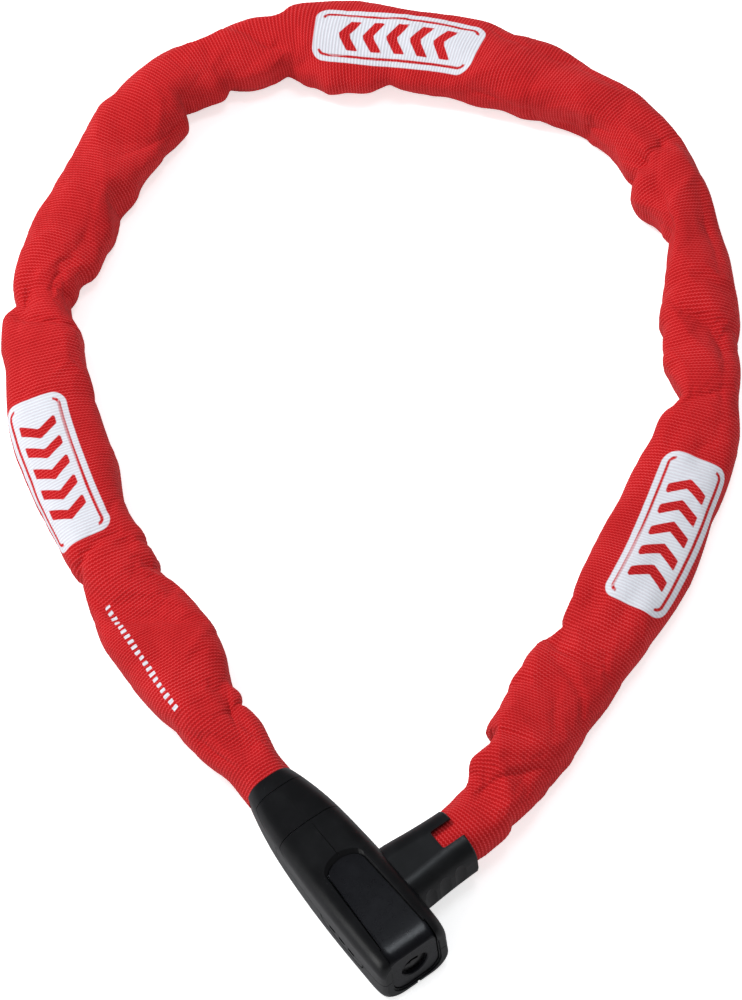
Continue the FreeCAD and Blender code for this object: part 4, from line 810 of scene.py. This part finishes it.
# body before, body after, joint: each piece covers one joint and is baked in place,
# except the one that rides on link 13, which is attached to that link
PIECES = [
    ("lock_body", "links_01_02", 0), ("links_01_02", "links_03_04", 2),
    ("links_03_04", "links_05_06", 4), ("links_05_06", "links_07_08", 6),
    ("links_07_08", "links_09_10", 8), ("links_09_10", "links_11_12", 10),
    ("links_11_12", "link_13", 12), ("link_13", None, 13),
    ("links_14_15", "links_16_17", 15), ("links_16_17", "links_18_19", 17),
    ("links_18_19", "links_20_21", 19), ("links_20_21", "links_22_23", 21),
    ("links_22_23", "links_24_25", 23), ("links_24_25", "plug", 25),
]


def ring_at(point):
    return int(np.argmin(np.linalg.norm(centre[:, :2] - point[:2], axis=1)))


def make_piece(name, first, last):
    """The sleeve from one ring to another, with an inner wall and closed rims."""
    outer_rows = np.arange(first, last + 1)
    inner_rows = sorted(set(range(first, last + 1, INNER_STEP)) | {last})
    outer = skin[outer_rows].reshape(-1, 3)
    inner = (skin[inner_rows] - normals[inner_rows] * WALL).reshape(-1, 3)
    verts = np.concatenate([outer, inner]) * MM
    vert_normals = np.concatenate([normals[outer_rows].reshape(-1, 3),
                                   -normals[inner_rows].reshape(-1, 3)])
    count = RING_POINTS
    outer_starts = np.arange(len(outer_rows))[:, None] * count
    inner_starts = len(outer) + np.arange(len(inner_rows))[:, None] * count
    quads = np.concatenate([
        band(outer_starts[:-1], outer_starts[1:], count),
        band(inner_starts[:-1], inner_starts[1:], count, flip=True),
        band(outer_starts[0], inner_starts[0], count, flip=True),
        band(outer_starts[-1], inner_starts[-1], count),
    ])
    quads = face_outward(verts, quads, vert_normals[quads[0, 0]])
    mesh = bpy.data.meshes.new(name)
    mesh.vertices.add(len(verts))
    mesh.vertices.foreach_set("co", verts.astype(np.float32).ravel())
    mesh.loops.add(quads.size)
    mesh.loops.foreach_set("vertex_index", quads.astype(np.int32).ravel())
    mesh.polygons.add(len(quads))
    mesh.polygons.foreach_set("loop_start", np.arange(0, quads.size, 4, dtype=np.int32))
    mesh.update(calc_edges=True)
    mesh.validate()
    mesh.polygons.foreach_set("use_smooth", [True] * len(mesh.polygons))
    # the inner wall carries no print
    for key, grid, inside in (("along", weave_along, 1), ("around", around, 1),
                              ("print", printed, 0)):
        layer = mesh.attributes.new(key, "FLOAT", "POINT")
        values = np.concatenate([grid[outer_rows].ravel(), grid[inner_rows].ravel() * inside])
        layer.data.foreach_set("value", values.astype(np.float32))
    mesh.normals_split_custom_set_from_vertices(vert_normals.astype(np.float32))
    mesh.materials.append(FABRIC)
    return add_object(name, mesh)


# pieces meet at joints, and once in the middle of link 13
cut_points = [*JOINTS[1:12:2], (JOINTS[12] + JOINTS[13]) / 2, *JOINTS[14:25:2]]
cuts = [0] + [ring_at(point) for point in cut_points] + [RINGS - 1]
cad_sleeves = sorted(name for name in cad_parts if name.startswith("sleeve_"))
for k, (before, after, joint) in enumerate(PIECES):
    piece = make_piece("sleeve_skin_%02d" % (k + 1), cuts[k], cuts[k + 1])
    if after is None:
        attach(piece, before)
    else:
        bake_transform(piece)
    if k == 2:
        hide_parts(*cad_sleeves)

# ------------------------------------------------------------ stage, in metres
FLOOR_HALF, FLOOR_Z = 6, -0.0004


def make_floor():
    """White paper that glows a little for the camera and looks darker in reflections."""
    mesh = bpy.data.meshes.new("floor")
    corners = [(x * FLOOR_HALF, y * FLOOR_HALF, FLOOR_Z)
               for x, y in ((-1, -1), (1, -1), (1, 1), (-1, 1))]
    mesh.from_pydata(corners, [], [(0, 1, 2, 3)])
    floor = add_object("floor", mesh)
    material, g, surface = new_material("floor_paper")
    cloudy = g.noise(scale=3.0, detail=2.0, rough=0.5)
    rays = g.node("LightPath").outputs
    paper = g.ramp(cloudy, [(0.3, (0.90, 0.90, 0.90)), (0.7, (0.93, 0.93, 0.93))])
    g.fill(surface, {
        "Base Color": g.mix(rays["Is Glossy Ray"], paper, (0.25, 0.25, 0.26)),
        "Emission Strength": g.add(0.12, g.mul(rays["Is Camera Ray"], 0.50)),
        "Emission Color": (1, 1, 1), "Roughness": 0.9, "Specular IOR Level": 0.1})
    mesh.materials.append(material)
    return floor


def make_world():
    """An even white surround, dimmer in reflections."""
    world = bpy.data.worlds.new("studio")
    bpy.context.scene.world = world
    world.use_nodes = True
    g = Graph(world.node_tree)
    glossy = g.node("LightPath").outputs["Is Glossy Ray"]
    g.fill(world.node_tree.nodes["Background"], {
        0: (1.0, 1.0, 1.0), 1: g.math("SUBTRACT", 0.47, g.mul(glossy, 0.40))})


make_floor()
make_world()

# ------------------------------------------------------------ camera
CAM_PLACE = Vector((0.495532, -0.240131, 1.086062))
CAM_RIGHT = Vector((0.582611, 0.808102, -0.086809))
CAM_UP = Vector((-0.65531, 0.530244, 0.537969))
CAM_BACK = Vector((0.480764, -0.25654, 0.838483))      # from the scene to the viewer

cam_data = bpy.data.cameras.new("camera")
camera = add_object("camera", cam_data)
columns = zip(CAM_RIGHT, CAM_UP, CAM_BACK, CAM_PLACE)
camera.matrix_world = Matrix((*columns, (0, 0, 0, 1)))
cam_data.lens = 139.355
cam_data.sensor_width = 36.0
cam_data.clip_start = 0.05
cam_data.clip_end = 50
bpy.context.scene.camera = camera

# ------------------------------------------------------------ lights
LOOP_MIDDLE = Vector((-0.14, 0.11, 0.01))


def area(name, direction, distance, size, power, glossy=True, colour=(1, 1, 1),
         aim=LOOP_MIDDLE):
    """A rectangular light that shines on aim from the given direction."""
    light = bpy.data.lights.new(name, "AREA")
    light.shape = "RECTANGLE"
    light.size, light.size_y = size
    light.energy = power
    light.color = colour
    obj = add_object(name, light)
    direction = direction.normalized()
    obj.location = aim + direction * distance
    obj.visible_glossy = glossy
    obj.rotation_euler = direction.to_track_quat("Z", "Y").to_euler()


def from_camera(right, up, back):
    """A direction given in the camera's own axes."""
    return CAM_RIGHT * right + CAM_UP * up + CAM_BACK * back


area("key", from_camera(right=-0.85, up=1.0, back=0.6), distance=1.6, size=(0.7, 0.5),
     power=22, glossy=False)
area("fill_left", from_camera(right=-1.0, up=-0.5, back=0.5), distance=1.5, size=(0.8, 0.8),
     power=5.5)
area("fill_front", from_camera(right=0.5, up=-0.9, back=0.6), distance=1.6, size=(0.9, 0.6),
     power=5, glossy=False)

# a small softbox, mirrored to the camera by faces with this normal, gives the black
# plastic its sheen
sheen_normal = Vector((0.24, 0.0, 0.97)).normalized()
area("sheen", sheen_normal * (2 * sheen_normal.dot(CAM_BACK)) - CAM_BACK, distance=1.5,
     size=(0.35, 0.35), power=3.2, colour=(0.88, 0.94, 1.0), aim=Vector((0, 0, 0.02)))

bpy.context.scene.view_settings.view_transform = "Standard"
